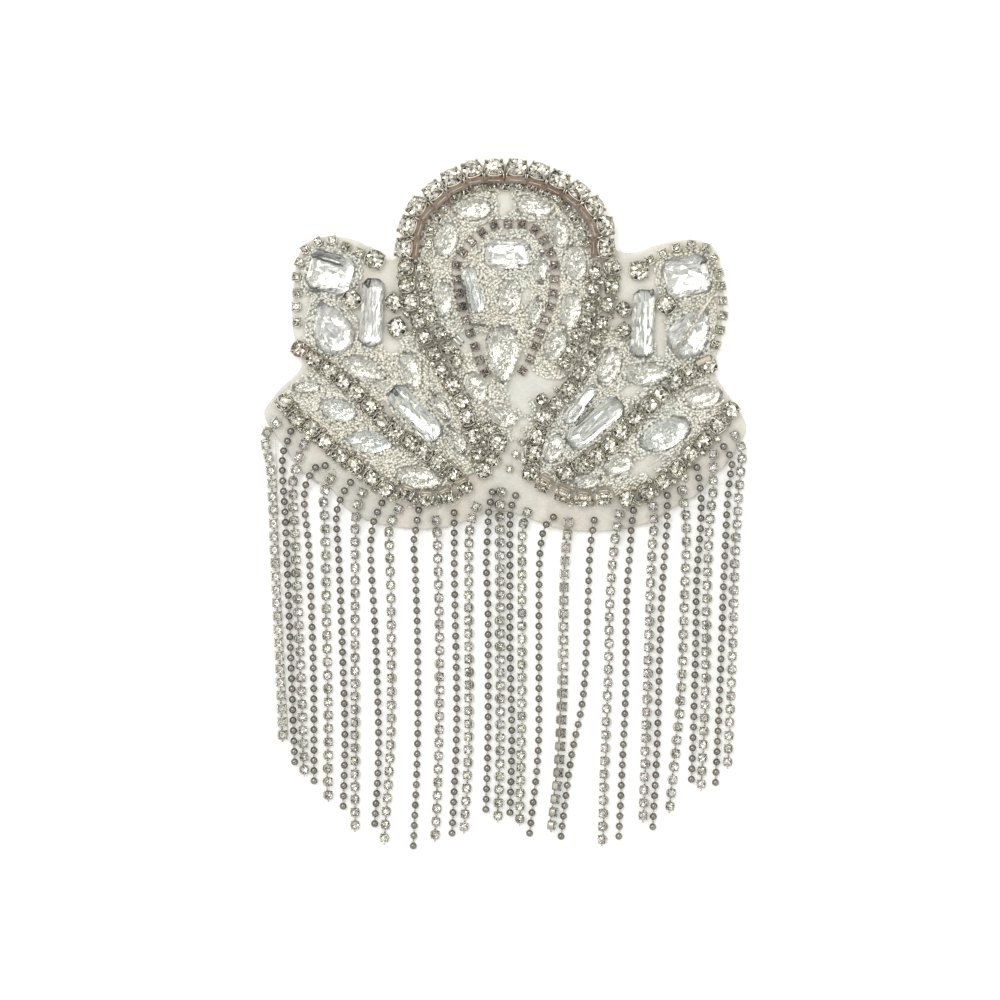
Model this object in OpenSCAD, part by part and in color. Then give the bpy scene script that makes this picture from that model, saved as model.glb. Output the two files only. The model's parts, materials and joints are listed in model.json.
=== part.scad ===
// Shoulder epaulette: a felt badge set with cut stones and rows of claw-set stones,
// with a fringe of cup chains and ball chains that starts on the badge's lower edge.
// It lies on its back. The back of the felt is at z = 0 and the top of the badge points along +Y.

/* [Felt badge] */
// Width of the felt
felt_w = 116; // [100:1:135]
// Height of the felt
felt_h = 90; // [78:1:104]
// Thickness of the felt
felt_t = 1.6; // [1.2:0.1:2]

/* [Cut stones] */
// Length of the octagon stones on the wings
octagon_l = 10.6; // [8:0.1:11.4]
// Width of the octagon stones on the wings
octagon_w = 9.4; // [7:0.1:10.2]
// Length of the cushion stone in the centre
cushion_l = 10.6; // [8:0.1:11.6]
// Width of the cushion stone in the centre
cushion_w = 7; // [5:0.1:7.8]
// Length of the long baguettes
baguette_l = 16.2; // [12:0.1:16.6]
// Width of the long baguettes
baguette_w = 5.4; // [4:0.1:5.7]
// Length of the short baguettes
bar_l = 11.8; // [9:0.1:12.4]
// Width of the short baguettes
bar_w = 3.2; // [2.6:0.1:3.5]
// Cut across the corners of octagons, cushion and baguettes
corner_cut = 1.3; // [0.6:0.1:1.8]
// Length of the drops on the wings
drop_l = 14; // [11:0.1:15]
// Width of the drops on the wings
drop_w = 9.8; // [7:0.1:10.6]
// Length of the long drop in the centre
long_drop_l = 15.6; // [12:0.1:16.6]
// Width of the long drop in the centre
long_drop_w = 8.6; // [6:0.1:9.6]
// Length of the marquise stones
marquise_l = 12.6; // [10:0.1:13]
// Width of the marquise stones
marquise_w = 5.4; // [4:0.1:6]
// Length of the navettes
navette_l = 8.6; // [6:0.1:9.4]
// Width of the navettes
navette_w = 3.4; // [2.8:0.1:3.8]
// Length of the large oval
oval_l = 13.6; // [10:0.1:14.6]
// Width of the large oval
oval_w = 7; // [5:0.1:7.8]
// Length of the medium ovals
medium_oval_l = 9.6; // [7.5:0.1:10]
// Width of the medium ovals
medium_oval_w = 5.2; // [4:0.1:5.5]
// Length of the slim oval
slim_oval_l = 9.4; // [7.5:0.1:10]
// Width of the slim oval
slim_oval_w = 4.4; // [3.4:0.1:4.6]
// Length of the small ovals
small_oval_l = 7.6; // [6:0.1:8]
// Width of the small ovals
small_oval_w = 4.8; // [3.6:0.1:5]
// Height of the tall stones
tall_stone_h = 3.2; // [2:0.1:5]
// Height of the low stones
low_stone_h = 2.5; // [1.5:0.1:4]

/* [Claw-set stones] */
// Diameter of the cups round the dome
dome_cup_d = 4.4; // [3.4:0.1:4.8]
// Height of the cups round the dome
dome_cup_h = 3.8; // [2.5:0.1:4.5]
// Gap between the cups round the dome
dome_cup_gap = 0.8; // [0.4:0.1:2]
// Outward tilt of the cups round the dome and at the hem
cup_tilt = 40; // [15:1:50]
// Diameter of the cups in the scroll, hem and side rows
row_cup_d = 3.8; // [3:0.1:4.1]
// Height of the cups in the scroll, hem and side rows
row_cup_h = 2.8; // [2:0.1:4]
// Gap between those cups
row_cup_gap = 0.5; // [0.3:0.1:1.5]
// Diameter of the cups in the inner side rows
inner_cup_d = 3; // [2.4:0.1:3.3]
// Height of the cups in the inner side rows
inner_cup_h = 2.3; // [1.6:0.1:3]
// Gap between the cups in the inner side rows
inner_cup_gap = 0.8; // [0.3:0.1:2]
// Diameter of the cups on the wings
small_cup_d = 2.2; // [1.8:0.1:2.5]
// Height of the cups on the wings
small_cup_h = 1.8; // [1.2:0.1:2.6]
// Gap between the cups on the wings
small_cup_gap = 1.2; // [0.5:0.1:2]
// Width of the two fine chains inside the dome
fine_chain_d = 1.8; // [1.5:0.1:1.9]

/* [Fringe] */
// Length of the longest chain below the felt's lowest point
fringe_l = 76; // [30:1:120]
// Width of the cup chains
cup_chain_d = 2.1; // [1.6:0.1:2.2]
// Diameter of the ball chains
ball_chain_d = 1.5; // [1.1:0.1:1.6]

/* [Fit] */
// Gap under each stone, cup and chain
seat_gap = 0.1; // [0.05:0.01:0.3]

/* [Hidden] */
// Places are [x, y] in percent of the felt's width and height, from the middle of the felt.
// The outline of the felt runs clockwise from the left wing.
FELT_EDGE = [
    [-44, 6], [-44, 12], [-43.5, 19], [-42.5, 25], [-40, 28], [-36, 29], [-31, 28], [-27, 25.5],
    [-24, 24.5], [-22.5, 26], [-22, 31], [-20, 36.5], [-17, 41], [-13, 45], [-9, 48], [-5, 49.5],
    [0, 50], [5, 49.5], [10, 47.5], [14.5, 44], [18, 40], [21, 35.5], [23.5, 30], [25, 25.5],
    [27, 24.5], [30, 26], [34.5, 27.5], [38.5, 28], [42, 27], [44.5, 24], [45.5, 19], [46, 11],
    [45, 2.5], [44, -2], [43.5, -8], [46, -13], [48.5, -17.5], [50, -22], [49, -25.5],
    [46.5, -31], [43, -35.5], [39.5, -40.5], [35, -43.5], [31, -47], [26, -49], [19, -50],
    [12, -49.5], [7, -47.5], [3, -45.5], [-1, -44.5], [-4, -45], [-10, -48], [-16.5, -49.5],
    [-24, -48.5], [-29.5, -46.5], [-33.5, -43], [-35.5, -39], [-38, -37.5], [-40, -36],
    [-43, -33], [-45, -28.5], [-48, -23.5], [-50, -18.5], [-48.5, -15], [-46, -11],
    [-42.5, -7], [-42, -3], [-43.5, 1]
];
// Steps of a smooth curve from one point to the next
EDGE_STEPS = 2;
ROW_STEPS = 4;

// Each kind of stone: name, outline, length, width, height
KINDS = [
    ["octagon", "cut", octagon_l, octagon_w, tall_stone_h],
    ["cushion", "cut", cushion_l, cushion_w, tall_stone_h],
    ["baguette", "cut", baguette_l, baguette_w, tall_stone_h],
    ["bar", "cut", bar_l, bar_w, low_stone_h],
    ["drop", "drop", drop_l, drop_w, tall_stone_h],
    ["long_drop", "drop", long_drop_l, long_drop_w, tall_stone_h],
    ["marquise", "pointed", marquise_l, marquise_w, low_stone_h],
    ["navette", "pointed", navette_l, navette_w, low_stone_h],
    ["oval", "round", oval_l, oval_w, tall_stone_h],
    ["medium_oval", "round", medium_oval_l, medium_oval_w, low_stone_h],
    ["slim_oval", "round", slim_oval_l, slim_oval_w, low_stone_h],
    ["small_oval", "round", small_oval_l, small_oval_w, low_stone_h]
];

// Each stone: node, kind, x, y, turn of its long axis; a drop's point is at its turn
STONES = [
    ["wing_octagon_left", "octagon", -36, 19, -15],
    ["wing_drop_left", "drop", -36, 4.5, 112],
    ["wing_baguette_left", "baguette", -27.5, 8.5, 87],
    ["wing_octagon_right", "octagon", 37.5, 18, 12],
    ["wing_drop_right", "drop", 38.5, 3.5, 56],
    ["wing_baguette_right", "baguette", 28.5, 5.5, 87],
    ["dome_petal_left", "medium_oval", -6.5, 36, 8],
    ["dome_petal_right", "medium_oval", 6, 36.5, -12],
    ["dome_side_oval_left", "medium_oval", -12, 28, 74],
    ["dome_low_oval_left", "slim_oval", -12.5, 12, 93],
    ["dome_small_oval_right", "small_oval", 11, 30, 108],
    ["dome_side_oval_right", "medium_oval", 14.5, 21.5, 97],
    ["dome_low_oval_right", "medium_oval", 13.5, 9, 78],
    ["dome_base_oval_right", "small_oval", 10.5, 0, 65],
    ["centre_cushion", "cushion", 0.5, 24, 0],
    ["centre_oval", "medium_oval", 1, 12.5, 90],
    ["centre_drop", "long_drop", -0.5, -3, -90],
    ["centre_bar", "bar", -6.5, 14.5, 105],
    ["centre_navette_upper", "navette", 7.5, 20.5, 86],
    ["centre_navette_lower", "navette", 6, 8.5, 74],
    ["scroll_marquise_left", "marquise", -29.5, -6.5, -20],
    ["lobe_navette_left", "navette", -41, -11, 5],
    ["lobe_oval_left", "medium_oval", -34.5, -17.5, -18],
    ["lobe_marquise_left", "marquise", -28, -26, -8],
    ["scroll_oval_left", "medium_oval", -19.5, -7, 104],
    ["scroll_baguette_left", "baguette", -18.5, -18.5, -47],
    ["side_oval_left", "small_oval", -6, -11.5, 118],
    ["side_navette_left", "navette", -13.5, -16.5, -60],
    ["base_navette_left", "navette", -10, -25.5, -60],
    ["hem_marquise_left", "marquise", -18, -35.5, -8],
    ["base_oval", "small_oval", -0.5, -19, -15],
    ["scroll_oval_right", "medium_oval", 21.5, -6, 68],
    ["scroll_marquise_right", "marquise", 29.5, -8, 10],
    ["scroll_bar_right", "bar", 15.5, -16, 52],
    ["scroll_baguette_right", "baguette", 18.5, -21, 39],
    ["side_oval_right", "small_oval", 10, -27.5, 66],
    ["lobe_oval_right", "oval", 33, -24, 25],
    ["lobe_small_oval_right", "medium_oval", 41, -14, 15],
    ["hem_oval_right", "small_oval", 23.5, -32, 25],
    ["hem_navette_right", "navette", 17, -36.5, 10]
];

// Rows of claw-set stones, as places that each row passes through.
// The dome row runs over the top from the right and is tilted outwards.
DOME_ROW = [
    [21, 25.5], [21, 30.5], [19, 36], [15.5, 40.5], [11, 44], [7, 46], [2.5, 47], [-2.5, 47],
    [-7, 46.5], [-11.5, 44], [-15.5, 40], [-19, 35.5], [-20.5, 30], [-21, 25.5]
];
WING_ROW_LEFT = [[-30, 24.5], [-32.5, 26], [-35, 27.5], [-38, 27.5], [-41, 25.5], [-42.5, 22], [-43, 17.5], [-43, 6]];
WING_ROW_RIGHT = [[30, 22.5], [35, 25.5], [38.5, 26.5], [41, 26], [43, 23.5], [44, 20], [45, 8], [43.5, 0]];
SCROLL_ROW_LEFT = [[-42.5, -1.5], [-38.5, -4.5], [-35, -8], [-31, -12.5], [-28, -16.5], [-25.5, -20], [-19.5, -26.5], [-10.5, -34.5]];
SCROLL_ROW_RIGHT = [[42, -5.5], [36.5, -8.5], [29.5, -16.5], [26, -20.5], [20, -28.5], [12, -34.5]];
HEM_ROW_LEFT = [[-45.5, -15.5], [-43, -19.5], [-39, -23.5], [-35.5, -28], [-31.5, -31.5], [-24.5, -38.5]];
HEM_ROW_RIGHT = [[46.5, -17.5], [43.5, -22.5], [39, -28], [36, -32.5], [32.5, -36.5], [28.5, -39.5], [25, -41]];
// These short rows at the foot of each lobe are tilted towards the fringe.
FOOT_ROW_LEFT = [[-20.5, -40.5], [-16.5, -42], [-12.5, -41.5], [-8, -38.5]];
FOOT_ROW_RIGHT = [[7.5, -38], [12, -41], [16, -42], [20.5, -41.5]];
SIDE_ROW_LEFT = [[-20.5, 20.5], [-20.5, 16.5], [-18, 5.5], [-13.5, -5.5], [-9, -14.5], [-7, -23], [-4.5, -34]];
SIDE_ROW_RIGHT = [[22, 20.5], [22, 16.5], [19.5, 5], [16.5, -6], [10.5, -15.5], [7, -23.5], [5, -34]];
INNER_ROW_LEFT = [[-17, 20], [-16, 13], [-14, 4], [-10, -4.5]];
INNER_ROW_RIGHT = [[18.5, 19], [18, 12], [16.5, 6], [14.5, 0], [12, -5]];

// Single claw-set stones: cup diameter, x, y
ACCENTS = [
    [row_cup_d, -27, 22.5], [row_cup_d, -31.5, 12], [row_cup_d, -23, 11.5], [row_cup_d, -22.5, 4.5],
    [row_cup_d, 27.5, 19.5], [row_cup_d, 33.5, 10.5], [inner_cup_d, 24.5, 9.5], [inner_cup_d, 24.5, 3.5],
    [dome_cup_d, -1.5, -26], [inner_cup_d, -3.5, -22.5], [inner_cup_d, -2.5, -30.5],
    [inner_cup_d, 7.5, -15]
];

// The fine chains inside the dome: one follows the dome row, one goes round the centre stones.
DOME_RING = [
    [-16, 25.5], [-15.5, 29], [-14.5, 32.5], [-13, 35.5], [-11, 38.5], [-8.5, 40.5], [-5, 42], [0, 42],
    [4, 42], [8, 41], [11, 38.5], [13, 36], [15, 32], [16.5, 28], [17, 26]
];
CENTRE_RING = [
    [-3.5, -8.5], [-5, -5.5], [-6, -1.5], [-7, 2.5], [-8, 6], [-9, 10], [-9.5, 13], [-10, 18],
    [-10, 21], [-9, 24], [-7, 27.5], [-4, 30.5], [-2, 32], [1, 32], [4, 32], [6.5, 30.5], [8.5, 27],
    [10, 23], [10.5, 19], [10, 13], [9, 8.5], [7.5, 4], [6.5, 0.5], [5.5, -3], [4.5, -5.5], [3, -8]
];

// The fringe. Each chain: points over the badge's height in percent as above, how many of them
// lie on the felt, and points below, with y in percent of the fringe's length.
// The chains run from left to right, cup chain and ball chain in turn.
FRINGE = [
    [[[-46.5, -20], [-49.5, -23.5], [-49.5, -27], [-48.5, -32], [-48, -41.5]], 2,
     [[-47.5, 11], [-47, 28], [-46.5, 44], [-46, 65.5]]],
    [[[-44.5, -24.5], [-46, -29], [-46, -32.5], [-46, -36], [-45.5, -43.5]], 2,
     [[-45, 12], [-44.5, 32], [-44, 51], [-43.5, 73.5]]],
    [[[-41.5, -26.5], [-42.5, -29.5], [-43.5, -34.5], [-44, -37.5], [-43.5, -47]], 3,
     [[-43, 13], [-42.5, 34], [-42, 53], [-41.5, 76.5]]],
    [[[-36.5, -32.5], [-38, -32], [-39.5, -33], [-41, -36.5], [-41.5, -39.5], [-41.5, -43.5]], 4,
     [[-40.5, 4], [-40, 25.5], [-39.5, 47], [-39.5, 79.5]]],
    [[[-35.5, -34.5], [-36.5, -37], [-37.5, -40], [-37.5, -43]], 3,
     [[-37, 2], [-37, 26.5], [-36.5, 53], [-36.5, 84.5]]],
    [[[-32, -37], [-33.5, -39.5], [-34.5, -43], [-35, -46]], 3,
     [[-34.5, 4], [-34, 20], [-33.5, 42.5], [-33, 64.5], [-33.5, 87.5]]],
    [[[-29.5, -39.5], [-30.5, -43], [-31, -47], [-31, -50]], 3,
     [[-31, 12], [-31, 40], [-31, 72], [-31, 94]]],
    [[[-25.5, -42.5], [-26.5, -45], [-27.5, -48.5], [-27.5, -51]], 3,
     [[-28, 4], [-27, 26.5], [-26.5, 43], [-26, 70], [-27, 93]]],
    [[[-22.5, -45], [-23.5, -47], [-24, -49]], 3,
     [[-24, 2.5], [-23.5, 21.5], [-23.5, 46], [-23.5, 66], [-25, 98]]],
    [[[-18, -45.5], [-18.5, -50]], 2,
     [[-19, 3.5], [-18.5, 13], [-18, 36.5], [-18, 68.5], [-19, 100]]],
    [[[-14.5, -45.5], [-14, -49.5]], 2,
     [[-14, 3], [-13.5, 34], [-13.5, 55], [-14, 85], [-14.5, 97]]],
    [[[-10.5, -44], [-10.5, -48.5]], 2,
     [[-10.5, 2], [-10.5, 15], [-10, 47], [-10, 66], [-11, 96]]],
    [[[-5.5, -42], [-6.5, -44.5], [-7, -47.5]], 3,
     [[-7.5, 1], [-7.5, 22], [-7.5, 43.5], [-7.5, 71], [-8.5, 94.5]]],
    [[[-2.5, -38.5], [-3, -41.5], [-3.5, -45.5], [-3.5, -48.5]], 3,
     [[-4, 9.5], [-3.5, 21.5], [-3.5, 37], [-3.5, 66], [-4, 88.5]]],
    [[[-0.5, -38], [-1, -41], [-1, -45], [-1, -47.5]], 3,
     [[-1, 14], [-1, 43.5], [-1, 71], [-1.5, 91]]],
    [[[2.5, -39.5], [1.5, -42], [1, -45.5], [1, -48.5]], 3,
     [[1, 6.5], [1, 23], [1, 39], [1.5, 64.5], [1, 89.5]]],
    [[[5, -43.5], [4, -46.5], [3.5, -49.5]], 2,
     [[3.5, 6.5], [3.5, 28], [3.5, 61.5], [3, 92]]],
    [[[10.5, -45.5], [9, -47], [8, -49]], 3,
     [[7.5, 2.5], [7, 10], [7, 51], [7, 70.5], [5, 96]]],
    [[[13, -46], [13, -50]], 2,
     [[12.5, 4], [12, 24.5], [12, 45.5], [11.5, 66], [11, 78], [9.5, 94]]],
    [[[18.5, -46], [18, -50.5]], 2,
     [[17.5, 5], [17, 28.5], [16.5, 48.5], [15.5, 58.5], [14, 68], [13, 78], [11.5, 97]]],
    [[[23.5, -45.5], [23, -50]], 2,
     [[22.5, 4], [21.5, 23.5], [21.5, 40], [20.5, 72.5], [20, 98.5]]],
    [[[26.5, -44.5], [26, -49.5]], 2,
     [[26, 3], [25, 20.5], [25, 50.5], [24.5, 66], [23.5, 97]]],
    [[[30.5, -44], [31, -47.5]], 2,
     [[30.5, 1.5], [30, 17.5], [29.5, 42], [29, 67], [28.5, 91]]],
    [[[33.5, -40.5], [33.5, -45.5], [33.5, -48.5]], 2,
     [[32.5, 16.5], [32, 36.5], [31.5, 68.5], [30.5, 94]]],
    [[[36.5, -37.5], [37, -43], [37.5, -46]], 2,
     [[37.5, 2.5], [37, 21.5], [36.5, 51], [35.5, 66], [34, 88]]],
    [[[39.5, -32], [40, -35.5], [40.5, -40.5], [40.5, -43], [40.5, -48]], 3,
     [[39.5, 14.5], [39.5, 31.5], [39, 59.5], [38.5, 79]]],
    [[[43, -29], [43, -37], [43, -40], [42.5, -44]], 2,
     [[42, 5.5], [41.5, 29], [41.5, 51], [40.5, 81]]],
    [[[45, -27], [46.5, -29.5], [47, -31.5], [46.5, -35], [46, -40.5]], 3,
     [[45.5, 4], [45, 22.5], [44.5, 47], [43.5, 80]]],
    [[[47.5, -24.5], [49, -27.5], [49, -31], [48.5, -36], [48, -47]], 2,
     [[47.5, 9], [47, 42], [46, 74]]]
];
CHAINS = len(FRINGE);
LEFT_END = 9;
MIDDLE_END = 19;

// Shares of a stone's or cup's own size
STONE_FOOT = 0.93;
STONE_GIRDLE = 0.4;
STONE_TABLE = 0.6;
CUP_FOOT = 0.92;
CUP_GIRDLE = 0.78;
CUP_TABLE = 0.6;
CUP_SIDES = 8;
TUBE_SIDES = 8;
OVAL_SIDES = 12;
POINTED_STEPS = 5;

STONE_NODES = [for (s = STONES) s[0]];

seat_z = felt_t + seat_gap;

// A place on the felt in millimetres
function spot(p) = [p[0] * felt_w / 100, p[1] * felt_h / 100];

// A point of a curve that passes through b and c
function bend(a, b, c, d, t) =
    ((2 * b) + (c - a) * t + (2 * a - 5 * b + 4 * c - d) * t * t + (3 * b - a - 3 * c + d) * t * t * t) / 2;

function smooth_loop(pts, steps) =
    let (n = len(pts))
    [for (i = [0:n - 1], k = [0:steps - 1])
        bend(pts[(i + n - 1) % n], pts[i], pts[(i + 1) % n], pts[(i + 2) % n], k / steps)];

function smooth_line(pts, steps) =
    let (last = len(pts) - 1)
    concat(
        [for (i = [0:last - 1], k = [0:steps - 1])
            bend(pts[max(i - 1, 0)], pts[i], pts[i + 1], pts[min(i + 2, last)], k / steps)],
        [pts[last]]
    );

// The distance run up to each point of a line
function runs(pts) =
    [for (i = 0, s = 0; i < len(pts); s = s + (i + 1 < len(pts) ? norm(pts[i + 1] - pts[i]) : 0), i = i + 1) s];

// The step of a line that holds distance s
function step_at(run, s) = [for (i = [0:len(run) - 2]) if (run[i + 1] >= s - 0.001) i][0];

// A solid lofted through rings of equal count, each counter-clockwise seen from the far end
module skin(rings) {
    n = len(rings[0]);
    m = len(rings);
    polyhedron(
        points = [for (r = rings) each r],
        faces = concat(
            [[for (j = [0:n - 1]) j]],
            [for (i = [0:m - 2], j = [0:n - 1], low = [true, false])
                let (a = i * n + j, b = i * n + (j + 1) % n, c = b + n, d = a + n)
                low ? [a, d, c] : [a, c, b]],
            [[for (j = [n - 1:-1:0]) (m - 1) * n + j]]
        ),
        convexity = 4
    );
}

function ring_at(outline, share, z) = [for (p = outline) [p[0] * share, p[1] * share, z]];

// A tube along points in space
module tube(pts, d) {
    last = len(pts) - 1;
    skin([for (i = [0:last])
        let (
            dir = pts[min(i + 1, last)] - pts[max(i - 1, 0)],
            side = cross(dir, [0, 0, 1]),
            u = side / norm(side),
            up = cross(dir, u),
            v = up / norm(up)
        )
        [for (k = [0:TUBE_SIDES - 1])
            let (a = (k + 0.5) * 360 / TUBE_SIDES)
            pts[i] + d / 2 / cos(180 / TUBE_SIDES) * (cos(a) * u + sin(a) * v)]
    ]);
}

// Outlines of the stones, long axis along X
function cut_outline(l, w) =
    let (x = l / 2, y = w / 2, c = corner_cut)
    [[x, c - y], [x, y - c], [x - c, y], [c - x, y], [-x, y - c], [-x, c - y], [c - x, -y], [x - c, -y]];

function round_outline(l, w) =
    [for (k = [0:OVAL_SIDES - 1]) let (a = k * 360 / OVAL_SIDES) [l / 2 * cos(a), w / 2 * sin(a)]];

// The widest point of this curve lies at two thirds of its length.
function drop_outline(l, w) =
    [for (k = [0:OVAL_SIDES - 1])
        let (a = k * 360 / OVAL_SIDES)
        [l / 2 * cos(a), w / 2 * sin(a) * sin(a / 2) * 3 * sqrt(3) / 4]];

function pointed_outline(l, w) =
    let (n = POINTED_STEPS)
    concat(
        [for (k = [0:n - 1]) let (t = 1 - 2 * k / n) [l / 2 * t, w / 2 * (1 - t * t)]],
        [for (k = [0:n - 1]) let (t = 2 * k / n - 1) [l / 2 * t, w / 2 * (t * t - 1)]]
    );

function outline_of(shape, l, w) =
    shape == "cut" ? cut_outline(l, w)
    : shape == "drop" ? drop_outline(l, w)
    : shape == "pointed" ? pointed_outline(l, w)
    : round_outline(l, w);

function kind_of(name) = [for (k = KINDS) if (k[0] == name) k][0];

module stone(s) {
    kind = kind_of(s[1]);
    h = kind[4];
    outline = outline_of(kind[1], kind[2], kind[3]);
    color("whitesmoke")
    translate(concat(spot([s[2], s[3]]), seat_z))
    rotate(s[4])
    skin([
        ring_at(outline, STONE_FOOT, 0),
        ring_at(outline, 1, h * STONE_GIRDLE),
        ring_at(outline, STONE_TABLE, h)
    ]);
}

// A claw cup and its stone, as one solid
module cup(d, h) {
    outline = [for (k = [0:CUP_SIDES - 1]) d / 2 * [cos(k * 360 / CUP_SIDES), sin(k * 360 / CUP_SIDES)]];
    color("silver")
    skin([
        ring_at(outline, CUP_FOOT, 0),
        ring_at(outline, 1, h * CUP_GIRDLE),
        ring_at(outline, CUP_TABLE, h)
    ]);
}

// A cup whose stone is centred on place p, tilted towards the heading
module tilted_cup(p, heading, tilt, d, h) {
    translate([p[0], p[1], seat_z + d / 2 * CUP_FOOT * sin(tilt)])
    rotate([0, 0, heading])
    translate([-h * CUP_GIRDLE * sin(tilt), 0, 0])
    rotate([0, tilt, 0])
    cup(d, h);
}

// Cups spaced evenly along a row; a tilt leans them to the right of the way the row runs
module cup_row(row, d, h, gap, tilt = 0) {
    line = smooth_line([for (p = row) spot(p)], ROW_STEPS);
    run = runs(line);
    total = run[len(run) - 1];
    count = floor(total / (d + gap)) + 1;
    for (i = [0:count - 1]) {
        s = total * i / (count - 1);
        k = step_at(run, s);
        dir = line[k + 1] - line[k];
        p = line[k] + dir * (s - run[k]) / (run[k + 1] - run[k]);
        tilted_cup(p, atan2(dir[1], dir[0]) - 90, tilt, d, h);
    }
}

module felt_backing() {
    color("ivory")
    linear_extrude(felt_t)
    polygon([for (p = smooth_loop(FELT_EDGE, EDGE_STEPS)) spot(p)]);
}

module dome_cups() {
    cup_row(DOME_ROW, dome_cup_d, dome_cup_h, dome_cup_gap, cup_tilt);
}

module wing_cups_left() {
    cup_row(WING_ROW_LEFT, small_cup_d, small_cup_h, small_cup_gap);
}

module wing_cups_right() {
    cup_row(WING_ROW_RIGHT, small_cup_d, small_cup_h, small_cup_gap);
}

module scroll_cups_left() {
    cup_row(SCROLL_ROW_LEFT, row_cup_d, row_cup_h, row_cup_gap);
}

module scroll_cups_right() {
    cup_row(SCROLL_ROW_RIGHT, row_cup_d, row_cup_h, row_cup_gap);
}

module hem_cups_left() {
    cup_row(HEM_ROW_LEFT, row_cup_d, row_cup_h, row_cup_gap);
    cup_row(FOOT_ROW_LEFT, row_cup_d, row_cup_h, row_cup_gap, cup_tilt);
}

module hem_cups_right() {
    cup_row(HEM_ROW_RIGHT, row_cup_d, row_cup_h, row_cup_gap);
    cup_row(FOOT_ROW_RIGHT, row_cup_d, row_cup_h, row_cup_gap, cup_tilt);
}

module side_cups_left() {
    cup_row(SIDE_ROW_LEFT, row_cup_d, row_cup_h, row_cup_gap);
    cup_row(INNER_ROW_LEFT, inner_cup_d, inner_cup_h, inner_cup_gap);
}

module side_cups_right() {
    cup_row(SIDE_ROW_RIGHT, row_cup_d, row_cup_h, row_cup_gap);
    cup_row(INNER_ROW_RIGHT, inner_cup_d, inner_cup_h, inner_cup_gap);
}

module accent_cups() {
    for (a = ACCENTS) translate(concat(spot([a[1], a[2]]), seat_z)) cup(a[0], row_cup_h);
}

// A fine chain laid on the felt
module fine_chain(row) {
    color("darkgray")
    tube(
        [for (p = row) concat(spot(p), seat_z + fine_chain_d / 2)],
        fine_chain_d
    );
}

module dome_ring_chain() {
    fine_chain(DOME_RING);
}

module centre_ring_chain() {
    fine_chain(CENTRE_RING);
}

// One chain of the fringe: it starts on the felt, drops over its edge and lies on the floor
module fringe_chain(f, d) {
    tops = [for (i = [0:len(f[0]) - 1]) concat(spot(f[0][i]), i < f[1] ? seat_z + d / 2 : d / 2)];
    falls = [for (p = f[2]) [p[0] * felt_w / 100, -felt_h / 2 - p[1] * fringe_l / 100, d / 2]];
    tube(concat(tops, falls), d);
}

// Every second chain of a stretch of the fringe
module fringe_cups(first, last) {
    color("lightgray")
    for (i = [first:last]) if (i % 2 == 0) fringe_chain(FRINGE[i], cup_chain_d);
}

module fringe_balls(first, last) {
    color("dimgray")
    for (i = [first:last]) if (i % 2 == 1) fringe_chain(FRINGE[i], ball_chain_d);
}

for (s = STONES) {
    stone(s);
}
felt_backing();
dome_cups();
wing_cups_left();
wing_cups_right();
scroll_cups_left();
scroll_cups_right();
hem_cups_left();
hem_cups_right();
side_cups_left();
side_cups_right();
accent_cups();
dome_ring_chain();
centre_ring_chain();
fringe_cups(0, LEFT_END);  // fringe_cups_left
fringe_cups(LEFT_END + 1, MIDDLE_END);  // fringe_cups_middle
fringe_cups(MIDDLE_END + 1, CHAINS - 1);  // fringe_cups_right
fringe_balls(0, LEFT_END);  // fringe_balls_left
fringe_balls(LEFT_END + 1, MIDDLE_END);  // fringe_balls_middle
fringe_balls(MIDDLE_END + 1, CHAINS - 1);  // fringe_balls_right
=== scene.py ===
import json
import math
import random

import bmesh
import bpy
import numpy as np
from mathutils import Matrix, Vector, noise
from mathutils.geometry import delaunay_2d_cdt


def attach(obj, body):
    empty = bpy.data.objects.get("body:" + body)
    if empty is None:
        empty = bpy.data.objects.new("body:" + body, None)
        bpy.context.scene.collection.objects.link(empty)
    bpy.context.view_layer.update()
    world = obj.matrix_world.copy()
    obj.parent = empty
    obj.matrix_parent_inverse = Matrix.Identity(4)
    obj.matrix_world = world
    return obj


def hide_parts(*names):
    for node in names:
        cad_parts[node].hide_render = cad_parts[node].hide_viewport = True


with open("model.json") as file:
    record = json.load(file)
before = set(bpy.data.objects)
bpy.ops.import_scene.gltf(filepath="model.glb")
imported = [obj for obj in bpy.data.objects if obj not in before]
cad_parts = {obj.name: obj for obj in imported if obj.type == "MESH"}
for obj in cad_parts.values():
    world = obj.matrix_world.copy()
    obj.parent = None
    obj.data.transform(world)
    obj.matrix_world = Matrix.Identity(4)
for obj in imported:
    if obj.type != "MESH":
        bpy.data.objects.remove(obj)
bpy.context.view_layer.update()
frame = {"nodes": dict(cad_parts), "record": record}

# Lengths are in millimetres, and many places on the badge are given as pixels of the photograph.
PX = 0.24  # millimetres to a pixel
ORIGIN = (505.0, 344.5)  # the pixel over the badge's origin
UP = np.array([0, 0, 1.0])
SIDES = ("left", "middle", "right")


def at(u, v):
    """The point of the badge under a pixel."""
    return np.array([(u - ORIGIN[0]) * PX, (ORIGIN[1] - v) * PX])


def pixel(p):
    """The pixel over a point of the badge."""
    return p[0] / PX + ORIGIN[0], ORIGIN[1] - p[1] / PX


def line_at(line):
    """Points from pixel, pixel and height."""
    return np.array([(*at(u, v), z) for u, v, z in line])


# ---- camera

camera_data = bpy.data.cameras.new("photo_camera")
camera_data.sensor_width = 36.0
camera_data.lens = 180.0
camera_data.clip_end = 20.0
camera = bpy.data.objects.new("photo_camera", camera_data)
camera.location = (-0.0012, -0.0373, 1.2)  # metres, straight above the badge and its fringe
bpy.context.scene.collection.objects.link(camera)
bpy.context.scene.camera = camera

# ---- mesh code

# The materials of a cup, in order; 4 is a pale plate for painted highlight lines and for claws painted bright
# as highlights, and 5 and 6 are other foils that a stamp may swap for its own.
WALL, CLAW, GLASS, FOIL, HIGHLIGHT_LINE, COPPER, SPARK = range(7)


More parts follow.
